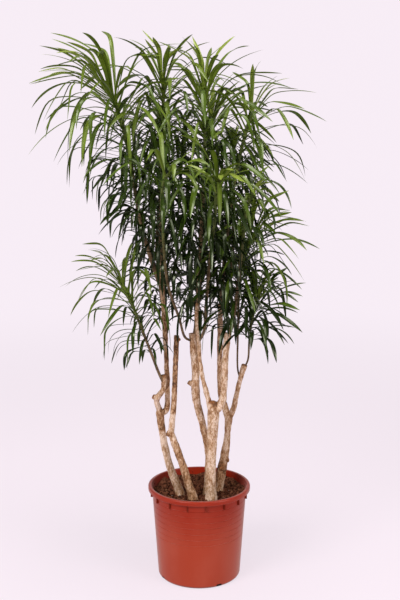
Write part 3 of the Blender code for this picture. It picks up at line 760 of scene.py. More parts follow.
# %% Routes of the limbs
# Each limb: its (x, y, z, radius) from foot to tip, and how brown it is at heights on it, from
# -1, bleached, to 1, dark
LIMBS = {
    "cane_left": {
        "points": (
            (-0.057, -0.020, 0.262, 0.0128),
            (-0.092, -0.018, 0.359, 0.0116),
            (-0.111, -0.008, 0.452, 0.0108),
            (-0.117, -0.002, 0.500, 0.0125),
            (-0.116, 0.000, 0.520, 0.0120),
        ),
        "tone": (
            (0.26, 0.1), (0.33, -0.1), (0.41, 0.0), (0.43, -0.7), (0.452, -0.5), (0.462, 0.9), (0.52, 0.5),
        ),
    },
    "bough_left_short": {
        "points": (
            (-0.116, -0.001, 0.512, 0.0085),
            (-0.127, -0.010, 0.545, 0.0090),
            (-0.122, -0.017, 0.566, 0.0088),
            (-0.105, -0.020, 0.592, 0.0085),
            (-0.105, -0.022, 0.633, 0.0082),
        ),
        "tone": ((0.51, 0.3), (0.53, -0.8), (0.55, -0.4), (0.58, 0.4), (0.633, 0.3)),
    },
    "bough_left_tall": {
        "points": (
            (-0.116, 0.000, 0.506, 0.0090),
            (-0.099, 0.010, 0.518, 0.0088),
            (-0.095, 0.015, 0.560, 0.0080),
            (-0.099, 0.018, 0.690, 0.0080),
            (-0.106, 0.014, 0.832, 0.0070),
            (-0.114, 0.010, 0.967, 0.0062),
        ),
        "tone": ((0.51, 0.2), (0.60, 0.5), (0.97, 0.6)),
    },
    "cane_slim": {
        "points": (
            (-0.019, -0.060, 0.262, 0.0122),
            (-0.050, -0.058, 0.368, 0.0112),
            (-0.078, -0.052, 0.447, 0.0105),
            (-0.082, -0.049, 0.476, 0.0095),
            (-0.074, -0.042, 0.565, 0.0088),
            (-0.066, -0.030, 0.755, 0.0082),
        ),
        "tone": (
            (0.26, 0.6), (0.36, 0.8), (0.42, 0.5), (0.445, -0.1), (0.46, 0.3), (0.475, -0.9), (0.515, -0.9),
            (0.53, 1.1), (0.545, 0.6), (0.565, 1.1), (0.585, 0.5), (0.605, 1.2), (0.625, 0.7), (0.65, 1.2),
            (0.755, 1.3),
        ),
    },
    "cane_front": {
        "points": (
            (0.036, -0.060, 0.262, 0.0156),
            (0.035, -0.060, 0.340, 0.0150),
            (0.039, -0.057, 0.440, 0.0150),
            (0.042, -0.055, 0.520, 0.0172),
            (0.041, -0.055, 0.560, 0.0105),
        ),
        "tone": ((0.26, -0.2), (0.35, -0.4), (0.45, -0.1), (0.52, -0.3), (0.545, 0.7), (0.56, 1.2)),
    },
    "bough_front_left": {
        "points": (
            (0.038, -0.055, 0.525, 0.0090),
            (0.024, -0.058, 0.578, 0.0080),
            (0.006, -0.059, 0.655, 0.0068),
            (-0.002, -0.050, 0.742, 0.0070),
            (-0.006, -0.040, 0.811, 0.0074),
            (-0.003, -0.030, 0.861, 0.0066),
        ),
        "tone": ((0.52, -0.4), (0.64, -0.3), (0.70, 0.2), (0.86, 0.5)),
    },
    "bough_front_right": {
        "points": (
            (0.044, -0.055, 0.528, 0.0115),
            (0.064, -0.053, 0.552, 0.0118),
            (0.073, -0.050, 0.595, 0.0096),
            (0.077, -0.047, 0.690, 0.0096),
            (0.084, -0.044, 0.766, 0.0102),
        ),
        "tone": ((0.52, -0.5), (0.60, -0.4), (0.70, 0.0), (0.766, 0.2)),
    },
    "cane_middle": {
        "points": (
            (0.025, -0.018, 0.262, 0.0115),
            (0.028, -0.015, 0.380, 0.0104),
            (0.013, -0.011, 0.463, 0.0100),
            (-0.007, -0.010, 0.545, 0.0118),
            (-0.011, -0.010, 0.590, 0.0130),
            (-0.012, -0.010, 0.650, 0.0112),
            (-0.021, -0.010, 0.758, 0.0102),
        ),
        "tone": ((0.26, 0.1), (0.45, 0.4), (0.52, 0.1), (0.70, 0.0), (0.758, 0.2)),
    },
    "cane_right": {
        "points": (
            (0.058, 0.010, 0.262, 0.0132),
            (0.068, 0.010, 0.320, 0.0142),
            (0.080, 0.012, 0.390, 0.0120),
            (0.087, 0.016, 0.452, 0.0102),
            (0.089, 0.018, 0.484, 0.0118),
            (0.089, 0.018, 0.496, 0.0100),
        ),
        "tone": (
            (0.26, 0.1), (0.315, 0.9), (0.34, 1.2), (0.37, 0.4), (0.43, -0.2), (0.45, 0.5), (0.496, 0.3),
        ),
    },
    "bough_right_inner": {
        "points": (
            (0.088, 0.018, 0.482, 0.0092),
            (0.076, 0.025, 0.528, 0.0090),
            (0.064, 0.029, 0.566, 0.0080),
            (0.062, 0.030, 0.680, 0.0078),
            (0.063, 0.030, 0.790, 0.0086),
            (0.065, 0.030, 0.850, 0.0076),
        ),
        "tone": ((0.48, 0.2), (0.56, 0.5), (0.85, 0.6)),
    },
    "bough_right_outer": {
        "points": (
            (0.091, 0.018, 0.484, 0.0082),
            (0.105, 0.016, 0.524, 0.0080),
            (0.120, 0.008, 0.598, 0.0080),
            (0.136, 0.000, 0.659, 0.0088),
        ),
        "tone": ((0.48, 0.2), (0.60, 0.1), (0.659, 0.4)),
    },
}

# Each fused stem: its limbs, and its cut-back stubs as (limb, z on it, direction, length, radius)
STEMS = {
    "stem_left": {
        "limbs": ("cane_left", "bough_left_short", "bough_left_tall"),
        "stubs": (("bough_left_short", 0.556, (-0.85, -0.20, 0.45), 0.016, 0.0075),),
    },
    "stem_slim": {
        "limbs": ("cane_slim",),
        "stubs": (
            ("cane_slim", 0.456, (-0.90, -0.10, 0.35), 0.018, 0.0080),
            ("cane_slim", 0.738, (0.90, -0.25, 0.30), 0.013, 0.0045),
        ),
    },
    "stem_front": {
        "limbs": ("cane_front", "bough_front_left", "bough_front_right"),
        "stubs": (("cane_front", 0.549, (-0.10, -0.45, 0.90), 0.015, 0.0080),),
    },
    "stem_middle": {
        "limbs": ("cane_middle",),
        "stubs": (("cane_middle", 0.594, (-0.85, -0.10, 0.55), 0.026, 0.0070),),
    },
    "stem_right": {
        "limbs": ("cane_right", "bough_right_inner", "bough_right_outer"),
        "stubs": (
            ("cane_right", 0.336, (-0.10, -0.95, 0.25), 0.0165, 0.0080),
            ("cane_right", 0.352, (0.80, -0.30, 0.20), 0.017, 0.0060),
        ),
    },
}

# The limbs that end in a saw cut; the others grow on into a shoot
CUT_TOPS = (
    "bough_left_short", "cane_slim", "cane_front", "bough_front_right", "cane_middle", "bough_right_outer",
)


def spline_point(a, b, c, d, t):
    """The point t of the way from b to c on the smooth curve that comes from a and goes on to d."""
    straight = (c - a) * t
    bend = (2 * a - 5 * b + 4 * c - d) * t**2
    turn = (3 * b - a - 3 * c + d) * t**3
    return 0.5 * (2 * b + straight + bend + turn)


def smooth_route(points, step):
    """Points about a step apart on a smooth curve through the given ones, as an array."""
    points = [np.array(point) for point in points]
    padded = [2 * points[0] - points[1]] + points + [2 * points[-1] - points[-2]]
    route = []
    for a, b, c, d in zip(padded, padded[1:], padded[2:], padded[3:]):
        count = max(1, round(float(np.linalg.norm(c[:3] - b[:3])) / step))
        route += [spline_point(a, b, c, d, i / count) for i in range(count)]
    return np.array(route + [points[-1]])


# %% Pull a limb along its route
LIMB_SIDES = 22
LIMB_STEP = 0.007
FLARE = 0.22
FLARE_HEIGHT = 0.018
FOOT_SINK = 0.008
STUB_STOPS = 5
STUB_TAPER = 0.35


def directions_along(centres):
    """The direction of a route at each of its points."""
    ahead = np.gradient(centres, axis=0)
    return ahead / np.linalg.norm(ahead, axis=1, keepdims=True)


def pulled_tube(name, centres, radii, sides):
    """A disc at the first point, extruded along all the others, turned and sized to each."""
    bpy.ops.mesh.primitive_circle_add(vertices=sides, radius=radii[0], fill_type="NGON")
    thing = just_added(name)
    aims = [Vector(aim) for aim in directions_along(centres)]
    stops = [Vector(centre) for centre in centres]
    first = aims[0].to_track_quat("Z", "Y").to_matrix().to_4x4()
    thing.data.transform(Matrix.Translation(stops[0]) @ first)
    bpy.ops.object.mode_set(mode="EDIT")
    bpy.ops.mesh.select_all(action="SELECT")
    for i in range(1, len(stops)):
        bpy.ops.mesh.extrude_region_move(TRANSFORM_OT_translate={"value": stops[i] - stops[i - 1]})
        turn = aims[i - 1].rotation_difference(aims[i]).to_matrix() * (radii[i] / radii[i - 1])
        mesh = bmesh.from_edit_mesh(thing.data)
        for vertex in mesh.verts:
            if vertex.select:
                vertex.co = stops[i] + turn @ (vertex.co - stops[i])
        bmesh.update_edit_mesh(thing.data)
    face_outwards(thing)
    return thing


def limb_route(name):
    """A limb's fine route as an array of x, y, z and radius; a cane's goes on into the peat."""
    route = smooth_route(LIMBS[name]["points"], LIMB_STEP)
    if name.startswith("cane"):
        height = route[:, 2] - route[0, 2]
        route[:, 3] *= 1 + FLARE * np.exp(-height / FLARE_HEIGHT)
        below = route[0].copy()
        below[2] -= FOOT_SINK
        route = np.vstack([below, route])
    return route


def stub_route(limb, z, direction, length, radius):
    """A short cut-back side branch, from inside its limb outwards."""
    route = limb_route(limb)
    start = route[np.argmin(abs(route[:, 2] - z)), :3]
    aim = np.array(direction) / np.linalg.norm(direction)
    shares = np.linspace(0, 1, STUB_STOPS)
    centres = start + aim * length * shares[:, None]
    radii = radius * (1 + STUB_TAPER - STUB_TAPER * shares)
    return np.column_stack([centres, radii])


# %% [markdown]
# The relief comes after the skin is fused: every point learns which limb it lies on, how far along
# and how far round. Rings of old leaf scars, shallow lumps and lengthwise wrinkles are then moves
# along the normal, and the same numbers are kept as attributes, so that the colours follow them.

# %% Fuse, wrinkle and mark a stem
SKIN_SIZE = 0.0015
SCAR_SPACING = 0.0085
SCAR_DEPTH = 0.00030
LUMP_DEPTH = 0.00125
# Lumps of each size: share of that depth, and how many to the metre
LUMP_SIZES = ((1.3, 24), (0.8, 62), (0.4, 140))
WRINKLE_DEPTH = 0.00035
CUT_DEPTH = 0.0022
CUT_REACH = 1.7


def set_attribute(thing, name, values):
    """Keeps one number with each point of a mesh."""
    layer = thing.data.attributes.new(name, "FLOAT", "POINT")
    layer.data.foreach_set("value", np.asarray(values, np.float32))


def wrinkled(points, normals, along, seed):
    """How each point moves along its normal, in metres, and how deep in a scar ring it lies."""
    moves, scars = [], []
    for point, distance in zip(points, along):
        place = Vector(point) + Vector((seed, 0, 0))
        sway = noise.noise(place * 45) * 0.45
        ring = 0.5 + 0.5 * math.cos(2 * math.pi * (distance / SCAR_SPACING + sway))
        scar = ring**7 * max(0.0, 0.25 + 1.5 * noise.noise(place * 55))
        lump = sum(share * noise.noise(place * scale) for share, scale in LUMP_SIZES)
        streak = noise.noise(Vector((place.x * 420, place.y * 420, place.z * 45)))
        moves.append(lump * LUMP_DEPTH + streak * WRINKLE_DEPTH - scar * SCAR_DEPTH)
        scars.append(scar)
    return normals * np.array(moves)[:, None], scars


def cut_share(points, route):
    """1 on the flat cut at a route's end and 0 a little below it."""
    aim = route[-1, :3] - route[-2, :3]
    aim = aim / np.linalg.norm(aim)
    past = (points - route[-1, :3]) @ aim
    near = np.linalg.norm(points - route[-1, :3], axis=1) < route[-1, 3] * CUT_REACH
    return np.clip(1 + past / CUT_DEPTH, 0, 1) * near


def place_on_route(points, route):
    """Each point's distance from a route, in its radii, and how far along the route it lies."""
    gaps = np.linalg.norm(points[:, None, :] - route[None, :, :3], axis=2)
    nearest = gaps.argmin(axis=1)
    gap = gaps[np.arange(len(points)), nearest] / route[nearest, 3]
    spans = np.linalg.norm(np.diff(route[:, :3], axis=0), axis=1)
    length = np.concatenate([[0], np.cumsum(spans)])
    aims = directions_along(route[:, :3])
    past = ((points - route[nearest, :3]) * aims[nearest]).sum(axis=1)
    return gap, length[nearest] + past


def mark_skin(skin, routes, seed):
    """Moves a fused stem's points and writes its attributes."""
    mesh = skin.data
    points = np.empty(len(mesh.vertices) * 3)
    mesh.vertices.foreach_get("co", points)
    points = points.reshape(-1, 3)
    normals = np.array([n.vector for n in mesh.vertex_normals])
    best = np.full(len(points), np.inf)
    along, tone, cut = np.zeros(len(points)), np.zeros(len(points)), np.zeros(len(points))
    for name, route, is_cut in routes:
        gap, distance = place_on_route(points, route)
        closer = gap < best
        best[closer] = gap[closer]
        along[closer] = distance[closer]
        heights, tones = np.array(LIMBS[name]["tone"]).T
        tone[closer] = np.interp(points[:, 2], heights, tones)[closer]
        if is_cut:
            cut = np.maximum(cut, cut_share(points, route))
    moves, scars = wrinkled(points, normals, along, seed)
    mesh.vertices.foreach_set("co", (points + moves).ravel())
    mesh.update()
    set_attribute(skin, "tone", tone)
    set_attribute(skin, "cut", cut)
    set_attribute(skin, "scar", scars)


# %% Bark finish
BARK_PALE = (0.79, 0.605, 0.48)
BARK_TAN = (0.50, 0.300, 0.170)
BARK_RUST = (0.260, 0.115, 0.047)
BARK_DARK = (0.075, 0.033, 0.017)
CUT_WOOD = (0.420, 0.170, 0.060)


def bark_finish():
    """Pale bark that turns tan, rusty and dark with its tone, and bare wood on the cut ends."""
    finish = Finish("cane_bark", roughness=0.78, gloss=0.3)
    place = finish.place()
    tall = finish.stretched(place, (1.0, 1.0, 0.45))
    patches = finish.between(finish.clouds(tall, 60.0, detail=5.0, roughness=0.65), 0.41, 0.60)
    mottle = finish.between(finish.clouds(tall, 250.0, detail=5.0, roughness=0.7), 0.44, 0.58)
    fine = finish.clouds(place, 430.0, detail=4.0, roughness=0.65)
    streaks = finish.clouds(finish.stretched(place, (1.0, 1.0, 0.22)), 330.0, detail=4.0, roughness=0.6)
    tone = finish.attribute("tone") * 0.55 + (patches - 0.5) * 0.62 + (mottle - 0.5) * 0.62
    tone = tone + (streaks - 0.5) * 0.9
    base = finish.mix(finish.between(tone, -0.55, 0.05), BARK_PALE, BARK_TAN)
    base = finish.mix(finish.between(tone, 0.05, 0.62), base, BARK_RUST)
    base = finish.mix(finish.between(tone, 0.62, 1.05), base, BARK_DARK)
    base = finish.mix(finish.attribute("scar") * 0.40, base, BARK_RUST)
    specks = finish.between(fine * 0.6 + streaks * 0.4, 0.57, 0.68) * 0.75
    base = finish.mix(specks, base, BARK_RUST)
    cut = finish.attribute("cut") * finish.between(fine, 0.20, 0.45)
    wood = finish.mix(finish.between(fine, 0.42, 0.58), BARK_DARK, CUT_WOOD)
    finish.colour(finish.mix(cut, base, wood))
    finish.relief(fine * 0.5 + streaks + 0.5 * mottle, 0.0013)
    return finish.material


bark = bark_finish()

# %% Build the five stems
SKIN_SMOOTHING = 5


def build_stem(name, limbs, stubs, seed):
    """One cane with its boughs and stubs: tubes fused into a skin, then wrinkled and marked."""
    routes = [(limb, limb_route(limb), limb in CUT_TOPS) for limb in limbs]
    routes += [(stub[0], stub_route(*stub), True) for stub in stubs]
    tubes = []
    for limb, route, is_cut in routes:
        tubes.append(pulled_tube(limb + "_tube", route[:, :3], route[:, 3], LIMB_SIDES))
    skin = joined(tubes, name)
    apply_modifier(skin, "REMESH", mode="VOXEL", voxel_size=SKIN_SIZE)
    apply_modifier(skin, "SMOOTH", factor=0.5, iterations=SKIN_SMOOTHING)
    mark_skin(skin, routes, seed)
    skin.data.shade_smooth()
    hand_over(skin, bark, "bark", *limbs)


for seed, (name, stem) in enumerate(STEMS.items()):
    build_stem(name, stem["limbs"], stem["stubs"], seed)

# %% [markdown]
# Leafy shoots
#
# A shoot's leaves sit one by one round its stem, each turned on from the last by the golden angle,
# which keeps any two from shading each other. Young leaves at the tip stand up in a bundle. Older
# ones lean out and hang over. The routes are those of the solid heads, and the leaves are as many and
# as narrow as the real ones.

# %% Routes of the shoots
# What most heads share: the seed of their leaves, how full they are, a leaf's width, how long the
# youngest leaf is as a share, how deep the tip's bundle of upright leaves is, how far in degrees the
# older ones lean out, and how fast their green darkens
USUAL_HEAD = {
    "seed": 0, "full": 1.0, "width": 0.0103, "young": 0.42, "bundle": 0.045, "spread": 53.0, "ripe": 1.0,
}


def leafy_head(route, **own):
    """A head's route and values. Each gives its stem's radius at foot and tip, how far down from the
    tip it has leaves, how long and limp they are, the share of length lost at the lowest, and how
    many tints darker it is."""
    return {**USUAL_HEAD, "route": route, **own}


# The dark value sets a head's leaves that many tints darker; its positive values, mostly on heads at the
# back, are painted shade.
HEADS = {
    "foliage_top_left": leafy_head(
        (
            (-0.109, 0.011, 0.885), (-0.126, 0.006, 0.930), (-0.166, 0.000, 1.068), (-0.199, 0.000, 1.265),
            (-0.219, -0.004, 1.364), (-0.240, -0.018, 1.426), (-0.266, -0.038, 1.468),
        ),
        stem=(0.0062, 0.0045), leafy=0.45, length=0.288, limp=1.16, fade=0.82, dark=-0.6, seed=2,
        full=1.32, width=0.0104, young=0.60, bundle=0.066, spread=52,
    ),
    "foliage_top_middle_left": leafy_head(
        (
            (-0.1138, 0.0102, 0.960), (-0.112, 0.028, 1.110), (-0.111, 0.045, 1.262),
            (-0.104, 0.050, 1.415), (-0.104, 0.044, 1.496),
        ),
        stem=(0.0058, 0.0045), leafy=0.50, length=0.250, limp=1.12, fade=0.45, dark=-0.25,
        full=1.08, young=0.45, bundle=0.040,
    ),
    "foliage_top_middle": leafy_head(
        ((-0.0032, -0.031, 0.855), (0.006, -0.018, 1.050), (0.016, 0.000, 1.305), (0.014, 0.000, 1.470)),
        stem=(0.0060, 0.0045), leafy=0.54, length=0.262, limp=1.10, fade=0.25, dark=-0.2, full=1.04,
    ),
    "foliage_top_right": leafy_head(
        ((0.0649, 0.030, 0.845), (0.088, 0.036, 1.100), (0.122, 0.040, 1.290), (0.156, 0.026, 1.406)),
        stem=(0.0062, 0.0045), leafy=0.48, length=0.250, limp=1.00, fade=0.92, dark=0.2, full=0.70,
    ),
    "foliage_front_left": leafy_head(
        (
            (-0.019, -0.010, 0.733), (-0.043, -0.030, 0.752), (-0.058, -0.058, 0.812),
            (-0.090, -0.115, 0.930), (-0.100, -0.165, 1.080), (-0.100, -0.205, 1.185),
            (-0.088, -0.236, 1.232), (-0.062, -0.258, 1.246),
        ),
        stem=(0.0036, 0.0040), leafy=0.30, length=0.205, limp=1.22, fade=0.25, dark=-0.9,
        full=0.72, width=0.0104, ripe=1.6,
    ),
    "foliage_front_middle": leafy_head(
        (
            (-0.002, -0.050, 0.740), (0.016, -0.057, 0.780), (0.020, -0.066, 0.850), (0.032, -0.120, 1.010),
            (0.044, -0.165, 1.120), (0.046, -0.205, 1.200), (0.056, -0.240, 1.228),
        ),
        stem=(0.0046, 0.0042), leafy=0.47, length=0.210, limp=1.25, fade=0.20, dark=-0.1,
        full=0.85, width=0.0104, ripe=1.5,
    ),
    "foliage_front_right": leafy_head(
        (
            (0.083, -0.044, 0.750), (0.096, -0.054, 0.790), (0.108, -0.068, 0.880),
            (0.124, -0.098, 1.050), (0.134, -0.130, 1.145), (0.152, -0.158, 1.188),
        ),
        stem=(0.0050, 0.0042), leafy=0.36, length=0.118, limp=1.20, fade=0.12, dark=0.0,
        full=0.42, width=0.0096,
    ),
    "foliage_right": leafy_head(
        (
            (0.123, 0.006, 0.612), (0.115, 0.014, 0.650), (0.115, 0.006, 0.740), (0.116, -0.022, 0.860),
            (0.124, -0.040, 0.962), (0.141, -0.052, 1.022), (0.162, -0.058, 1.056),
        ),
        stem=(0.0024, 0.0040), leafy=0.33, length=0.228, limp=1.02, fade=0.20, dark=-0.3, seed=1,
        full=0.95, width=0.0101, young=0.34, bundle=0.055,
    ),
    "foliage_low_left": leafy_head(
        (
            (-0.105, -0.021, 0.606), (-0.121, -0.036, 0.648), (-0.152, -0.050, 0.738),
            (-0.191, -0.064, 0.845), (-0.234, -0.080, 0.936),
        ),
        stem=(0.0042, 0.0036), leafy=0.26, length=0.216, limp=1.20, fade=0.55, dark=-1.2,
        width=0.0088, young=0.38, bundle=0.068,
    ),
    "foliage_low_right": leafy_head(
        (
            (0.134, 0.001, 0.648), (0.146, -0.006, 0.680), (0.149, -0.015, 0.747), (0.160, -0.036, 0.825),
            (0.176, -0.046, 0.876),
        ),
        stem=(0.0026, 0.0034), leafy=0.15, length=0.170, limp=0.70, fade=0.25, dark=0.2,
        full=1.10, width=0.0102, spread=58,
    ),
    "foliage_low_middle": leafy_head(
        ((-0.014, -0.010, 0.680), (-0.012, 0.030, 0.712), (-0.004, 0.090, 0.785), (0.002, 0.150, 0.880)),
        stem=(0.0034, 0.0034), leafy=0.14, length=0.170, limp=0.95, fade=0.25, dark=1.2, full=0.80,
    ),
    "foliage_back_left": leafy_head(
        (
            (-0.106, 0.014, 0.832), (-0.114, 0.045, 0.865), (-0.128, 0.115, 0.990),
            (-0.120, 0.170, 1.160), (-0.112, 0.200, 1.360),
        ),
        stem=(0.0052, 0.0042), leafy=0.48, length=0.185, limp=1.05, fade=0.35, dark=0.5, full=0.85,
    ),
    "foliage_back_middle": leafy_head(
        (
            (-0.019, -0.010, 0.735), (-0.010, 0.025, 0.775), (-0.003, 0.090, 0.890),
            (0.006, 0.155, 1.070), (0.036, 0.190, 1.372),
        ),
        stem=(0.0056, 0.0042), leafy=0.46, length=0.255, limp=1.05, fade=0.15, dark=0.5,
    ),
    "foliage_back_right": leafy_head(
        (
            (0.063, 0.030, 0.795), (0.076, 0.056, 0.835), (0.100, 0.112, 0.960),
            (0.104, 0.160, 1.110), (0.106, 0.190, 1.305),
        ),
        stem=(0.0050, 0.0040), leafy=0.38, length=0.152, limp=1.10, fade=0.15, dark=0.5, full=0.80,
    ),
    "foliage_low_back_right": leafy_head(
        ((0.062, 0.030, 0.690), (0.082, 0.056, 0.720), (0.112, 0.112, 0.810), (0.135, 0.170, 0.965)),
        stem=(0.0040, 0.0036), leafy=0.15, length=0.165, limp=0.90, fade=0.30, dark=0.8,
    ),
    "foliage_low_back_left": leafy_head(
        ((-0.099, 0.018, 0.690), (-0.106, 0.050, 0.730), (-0.110, 0.112, 0.830), (-0.112, 0.170, 0.975)),
        stem=(0.0040, 0.0036), leafy=0.22, length=0.165, limp=1.05, fade=0.30, dark=0.8, full=1.15,
    ),
}
print(len(HEADS), "heads")

# %% Shoot stems
SHOOT_STEP = 0.0022
SHOOT_SIDES = 10
NODE_SPACING = 0.0062
NODE_SWELL = 0.10
SHOOT_BROWNS = (0.075, 0.040, 0.020), (0.21, 0.135, 0.070)
SHOOT_GREENS = (0.055, 0.072, 0.016), (0.120, 0.145, 0.035)


def ringed_tube(centres, radii, sides):
    """Points and faces of a closed tube, its ring of points turned as little as possible."""
    aims = directions_along(centres)
    side = np.array([1.0, 0.0, 0.0])
    angles = np.linspace(0, 2 * math.pi, sides, endpoint=False)
    rings = []
    for centre, radius, aim in zip(centres, radii, aims):
        side = side - aim * (side @ aim)
        side = side / np.linalg.norm(side)
        top = np.cross(aim, side)
        rings.append(centre + radius * (np.outer(np.cos(angles), side) + np.outer(np.sin(angles), top)))
    points = np.vstack(rings + [centres[:1], centres[-1:]])
    rows = np.arange(len(centres) - 1) * sides
    last = rows[-1] + sides
    foot_pole, tip_pole = last + sides, last + sides + 1
    faces = []
    for k in range(sides):
        follow = (k + 1) % sides
        faces.append(np.column_stack([rows + k, rows + follow, rows + follow + sides, rows + k + sides]))
        faces.append(np.array([[foot_pole, follow, k, foot_pole]]))
        faces.append(np.array([[tip_pole, last + k, last + follow, tip_pole]]))
    return points, np.vstack(faces)


def shoot_tube(name):
    """A shoot's stem with a slight swelling at each node."""
    head = HEADS[name]
    centres = smooth_route(head["route"], SHOOT_STEP)
    length = np.linspace(0, 1, len(centres))
    foot, tip = head["stem"]
    along = length * SHOOT_STEP * len(centres)
    swelling = 1 + NODE_SWELL * (0.5 + 0.5 * np.cos(2 * math.pi * along / NODE_SPACING)) ** 4
    radii = (foot + (tip - foot) * length) * swelling
    return ringed_tube(centres, radii, SHOOT_SIDES)


def shoot_youth(name):
    """How young each point of a shoot's stem is: 0 at its foot and 1 at its tip."""
    rings = len(smooth_route(HEADS[name]["route"], SHOOT_STEP))
    return np.concatenate([np.repeat(np.linspace(0, 1, rings), SHOOT_SIDES), [0.0, 1.0]])


def join_arrays(parts):
    """Several (points, faces) pairs as one."""
    points, faces, start = [], [], 0
    for part_points, part_faces in parts:
        points.append(part_points)
        faces.append(part_faces + start)
        start += len(part_points)
    return np.vstack(points), np.vstack(faces)


def drop_repeats(faces):
    """Faces as lists, a corner that is named twice kept once."""
    return [list(dict.fromkeys(face)) for face in faces.tolist()]


def shoot_finish():
    """Ringed brown bark that turns green towards the tip."""
    finish = Finish("shoot_bark", roughness=0.62, gloss=0.3)
    place = finish.place()
    patches = finish.clouds(finish.stretched(place, (1.0, 1.0, 0.5)), 120.0, detail=4.0)
    rings = finish.clouds(finish.stretched(place, (0.15, 0.15, 1.0)), 420.0, detail=3.0)
    share = finish.between(0.5 * patches + 0.5 * rings, 0.38, 0.62)
    old = finish.mix(share, *SHOOT_BROWNS)
    green = finish.mix(share, *SHOOT_GREENS)
    finish.colour(finish.mix(finish.between(finish.attribute("youth"), 0.35, 0.75), old, green))
    finish.relief(rings, 0.0006)
    return finish.material


stem_points, stem_faces = join_arrays([shoot_tube(name) for name in HEADS])
stem_mesh = bpy.data.meshes.new("shoot_stems")
stem_mesh.from_pydata(stem_points.tolist(), [], drop_repeats(stem_faces))
stem_mesh.shade_smooth()
shoot_stems = bpy.data.objects.new("shoot_stems", stem_mesh)
bpy.context.scene.collection.objects.link(shoot_stems)
set_attribute(shoot_stems, "youth", np.concatenate([shoot_youth(name) for name in HEADS]))
hand_over(shoot_stems, shoot_finish(), "bark", *HEADS)

# %% [markdown]
# One leaf
#
# A leaf is a long strap that clasps the stem, narrows just above and is widest beyond its middle. It
# is folded along its midrib and drawn out to a fine tip. It is modelled once as a flat strip of one
# unit, from the foot outwards.

# %% Model the strap
LEAF_SECTIONS = 21
LEAF_STRIPS = 4
# The strap's width at even stops from foot to tip, as shares of its widest
LEAF_STOPS = (0.80, 0.48, 0.53, 0.66, 0.80, 0.91, 0.98, 1.0, 0.88, 0.54, 0.03)
LEAF_OUTLINE = np.interp(
    np.linspace(0, 1, LEAF_SECTIONS + 1), np.linspace(0, 1, len(LEAF_STOPS)), LEAF_STOPS
).tolist()
LEAF_FOLD = 0.36


def model_leaf():
    """A flat strap one unit long, its width following the outline."""
    bpy.ops.mesh.primitive_grid_add(x_subdivisions=LEAF_STRIPS, y_subdivisions=1, size=1)
    leaf = just_added("leaf_strap")
    step = 1 / LEAF_SECTIONS
    bpy.ops.object.mode_set(mode="EDIT")
    bpy.ops.mesh.select_all(action="SELECT")
    bpy.ops.transform.resize(value=(LEAF_OUTLINE[0], step, 1), center_override=(0, 0, 0))
    bpy.ops.transform.translate(value=(0, step / 2, 0))
    for i in range(1, LEAF_SECTIONS):
        select_far_edge(leaf)
        if i == 1:
            widen(LEAF_OUTLINE[1] / LEAF_OUTLINE[0])
        bpy.ops.mesh.extrude_region_move(TRANSFORM_OT_translate={"value": (0, step, 0)})
        widen(LEAF_OUTLINE[i + 1] / LEAF_OUTLINE[i])
    bpy.ops.object.mode_set(mode="OBJECT")
    return leaf


def select_far_edge(leaf):
    """Selects the edges at the strap's far end."""
    bpy.ops.mesh.select_all(action="DESELECT")
    mesh = bmesh.from_edit_mesh(leaf.data)
    far = max(vertex.co.y for vertex in mesh.verts)
    for edge in mesh.edges:
        if all(abs(vertex.co.y - far) < 1e-5 for vertex in edge.verts):
            edge.select_set(True)
    bmesh.update_edit_mesh(leaf.data)


def widen(share):
    """Changes the width of what is selected."""
    bpy.ops.transform.resize(value=(share, 1, 1), center_override=(0, 0, 0))


strap = model_leaf()
strap_points = np.array([v.co for v in strap.data.vertices])
order = np.lexsort((strap_points[:, 0], np.round(strap_points[:, 1] * LEAF_SECTIONS)))
strap_grid = strap_points[order].reshape(LEAF_SECTIONS + 1, LEAF_STRIPS + 1, 3)
bpy.data.objects.remove(strap)
print("strap of", strap_grid.shape[0], "by", strap_grid.shape[1], "points")

# %% [markdown]
# Growing the crown
#
# The rule is the solid model's own, carried finer: the place on the stem gives each leaf its lean, its
# limpness and its length. Real leaves bend each in its own way, so a leaf's fall is dealt out partly
# as an even arc and partly at one weak place. A leaf that would leave the crown's box, crowd into
# another head's space or touch a cane is tried again and then left out.

# %% Where leaves sit and how they lean
GOLDEN_ANGLE = math.radians(137.508)
LEAF_SPACING = 0.0039
TIP_CROWDING = 1.18
TURN_SCATTER = 0.22
TIP_SPREAD, SPREAD_SCATTER, SPREAD_EASE = 8.0, 11.0, 1.3
LEAF_TRIES = 8
TRY_SPREAD = 3.0
ROUTE_STEP = 0.010

shoot_routes = {name: smooth_route(head["route"], ROUTE_STEP) for name, head in HEADS.items()}


def spot_from_tip(route, distance):
    """The point and direction on a stem's route, a distance down from its tip."""
    spans = np.linalg.norm(np.diff(route[::-1], axis=0), axis=1)
    passed = np.concatenate([[0], np.cumsum(spans)])
    place = np.array([np.interp(distance, passed, route[::-1, axis]) for axis in range(3)])
    i = min(int(np.searchsorted(passed, distance)), len(spans) - 1)
    aim = route[::-1][i] - route[::-1][i + 1]
    return place, aim / np.linalg.norm(aim)


def grown_share(depth, growth, ease=1.0):
    """From 0 at a shoot's tip towards 1 further down, most of the way at the given depth."""
    return 1 - math.exp(-((depth / growth) ** ease))


def leaf_heading(head, up_stem, number, depth, attempt, dice):
    """A leaf's side of the stem, by the golden angle, and the way it leaves it, leaning out."""
    side = np.array(Vector(up_stem).orthogonal().normalized())
    round_stem = number * GOLDEN_ANGLE + dice.uniform(-TURN_SCATTER, TURN_SCATTER) * (1 + attempt)
    outward = side * math.cos(round_stem) + np.cross(up_stem, side) * math.sin(round_stem)
    lean = TIP_SPREAD + head["spread"] * grown_share(depth, head["bundle"], SPREAD_EASE)
    lean += dice.uniform(-SPREAD_SCATTER, SPREAD_SCATTER) + TRY_SPREAD * attempt
    spread = math.radians(lean)
    return outward, outward * math.sin(spread) + up_stem * math.cos(spread)


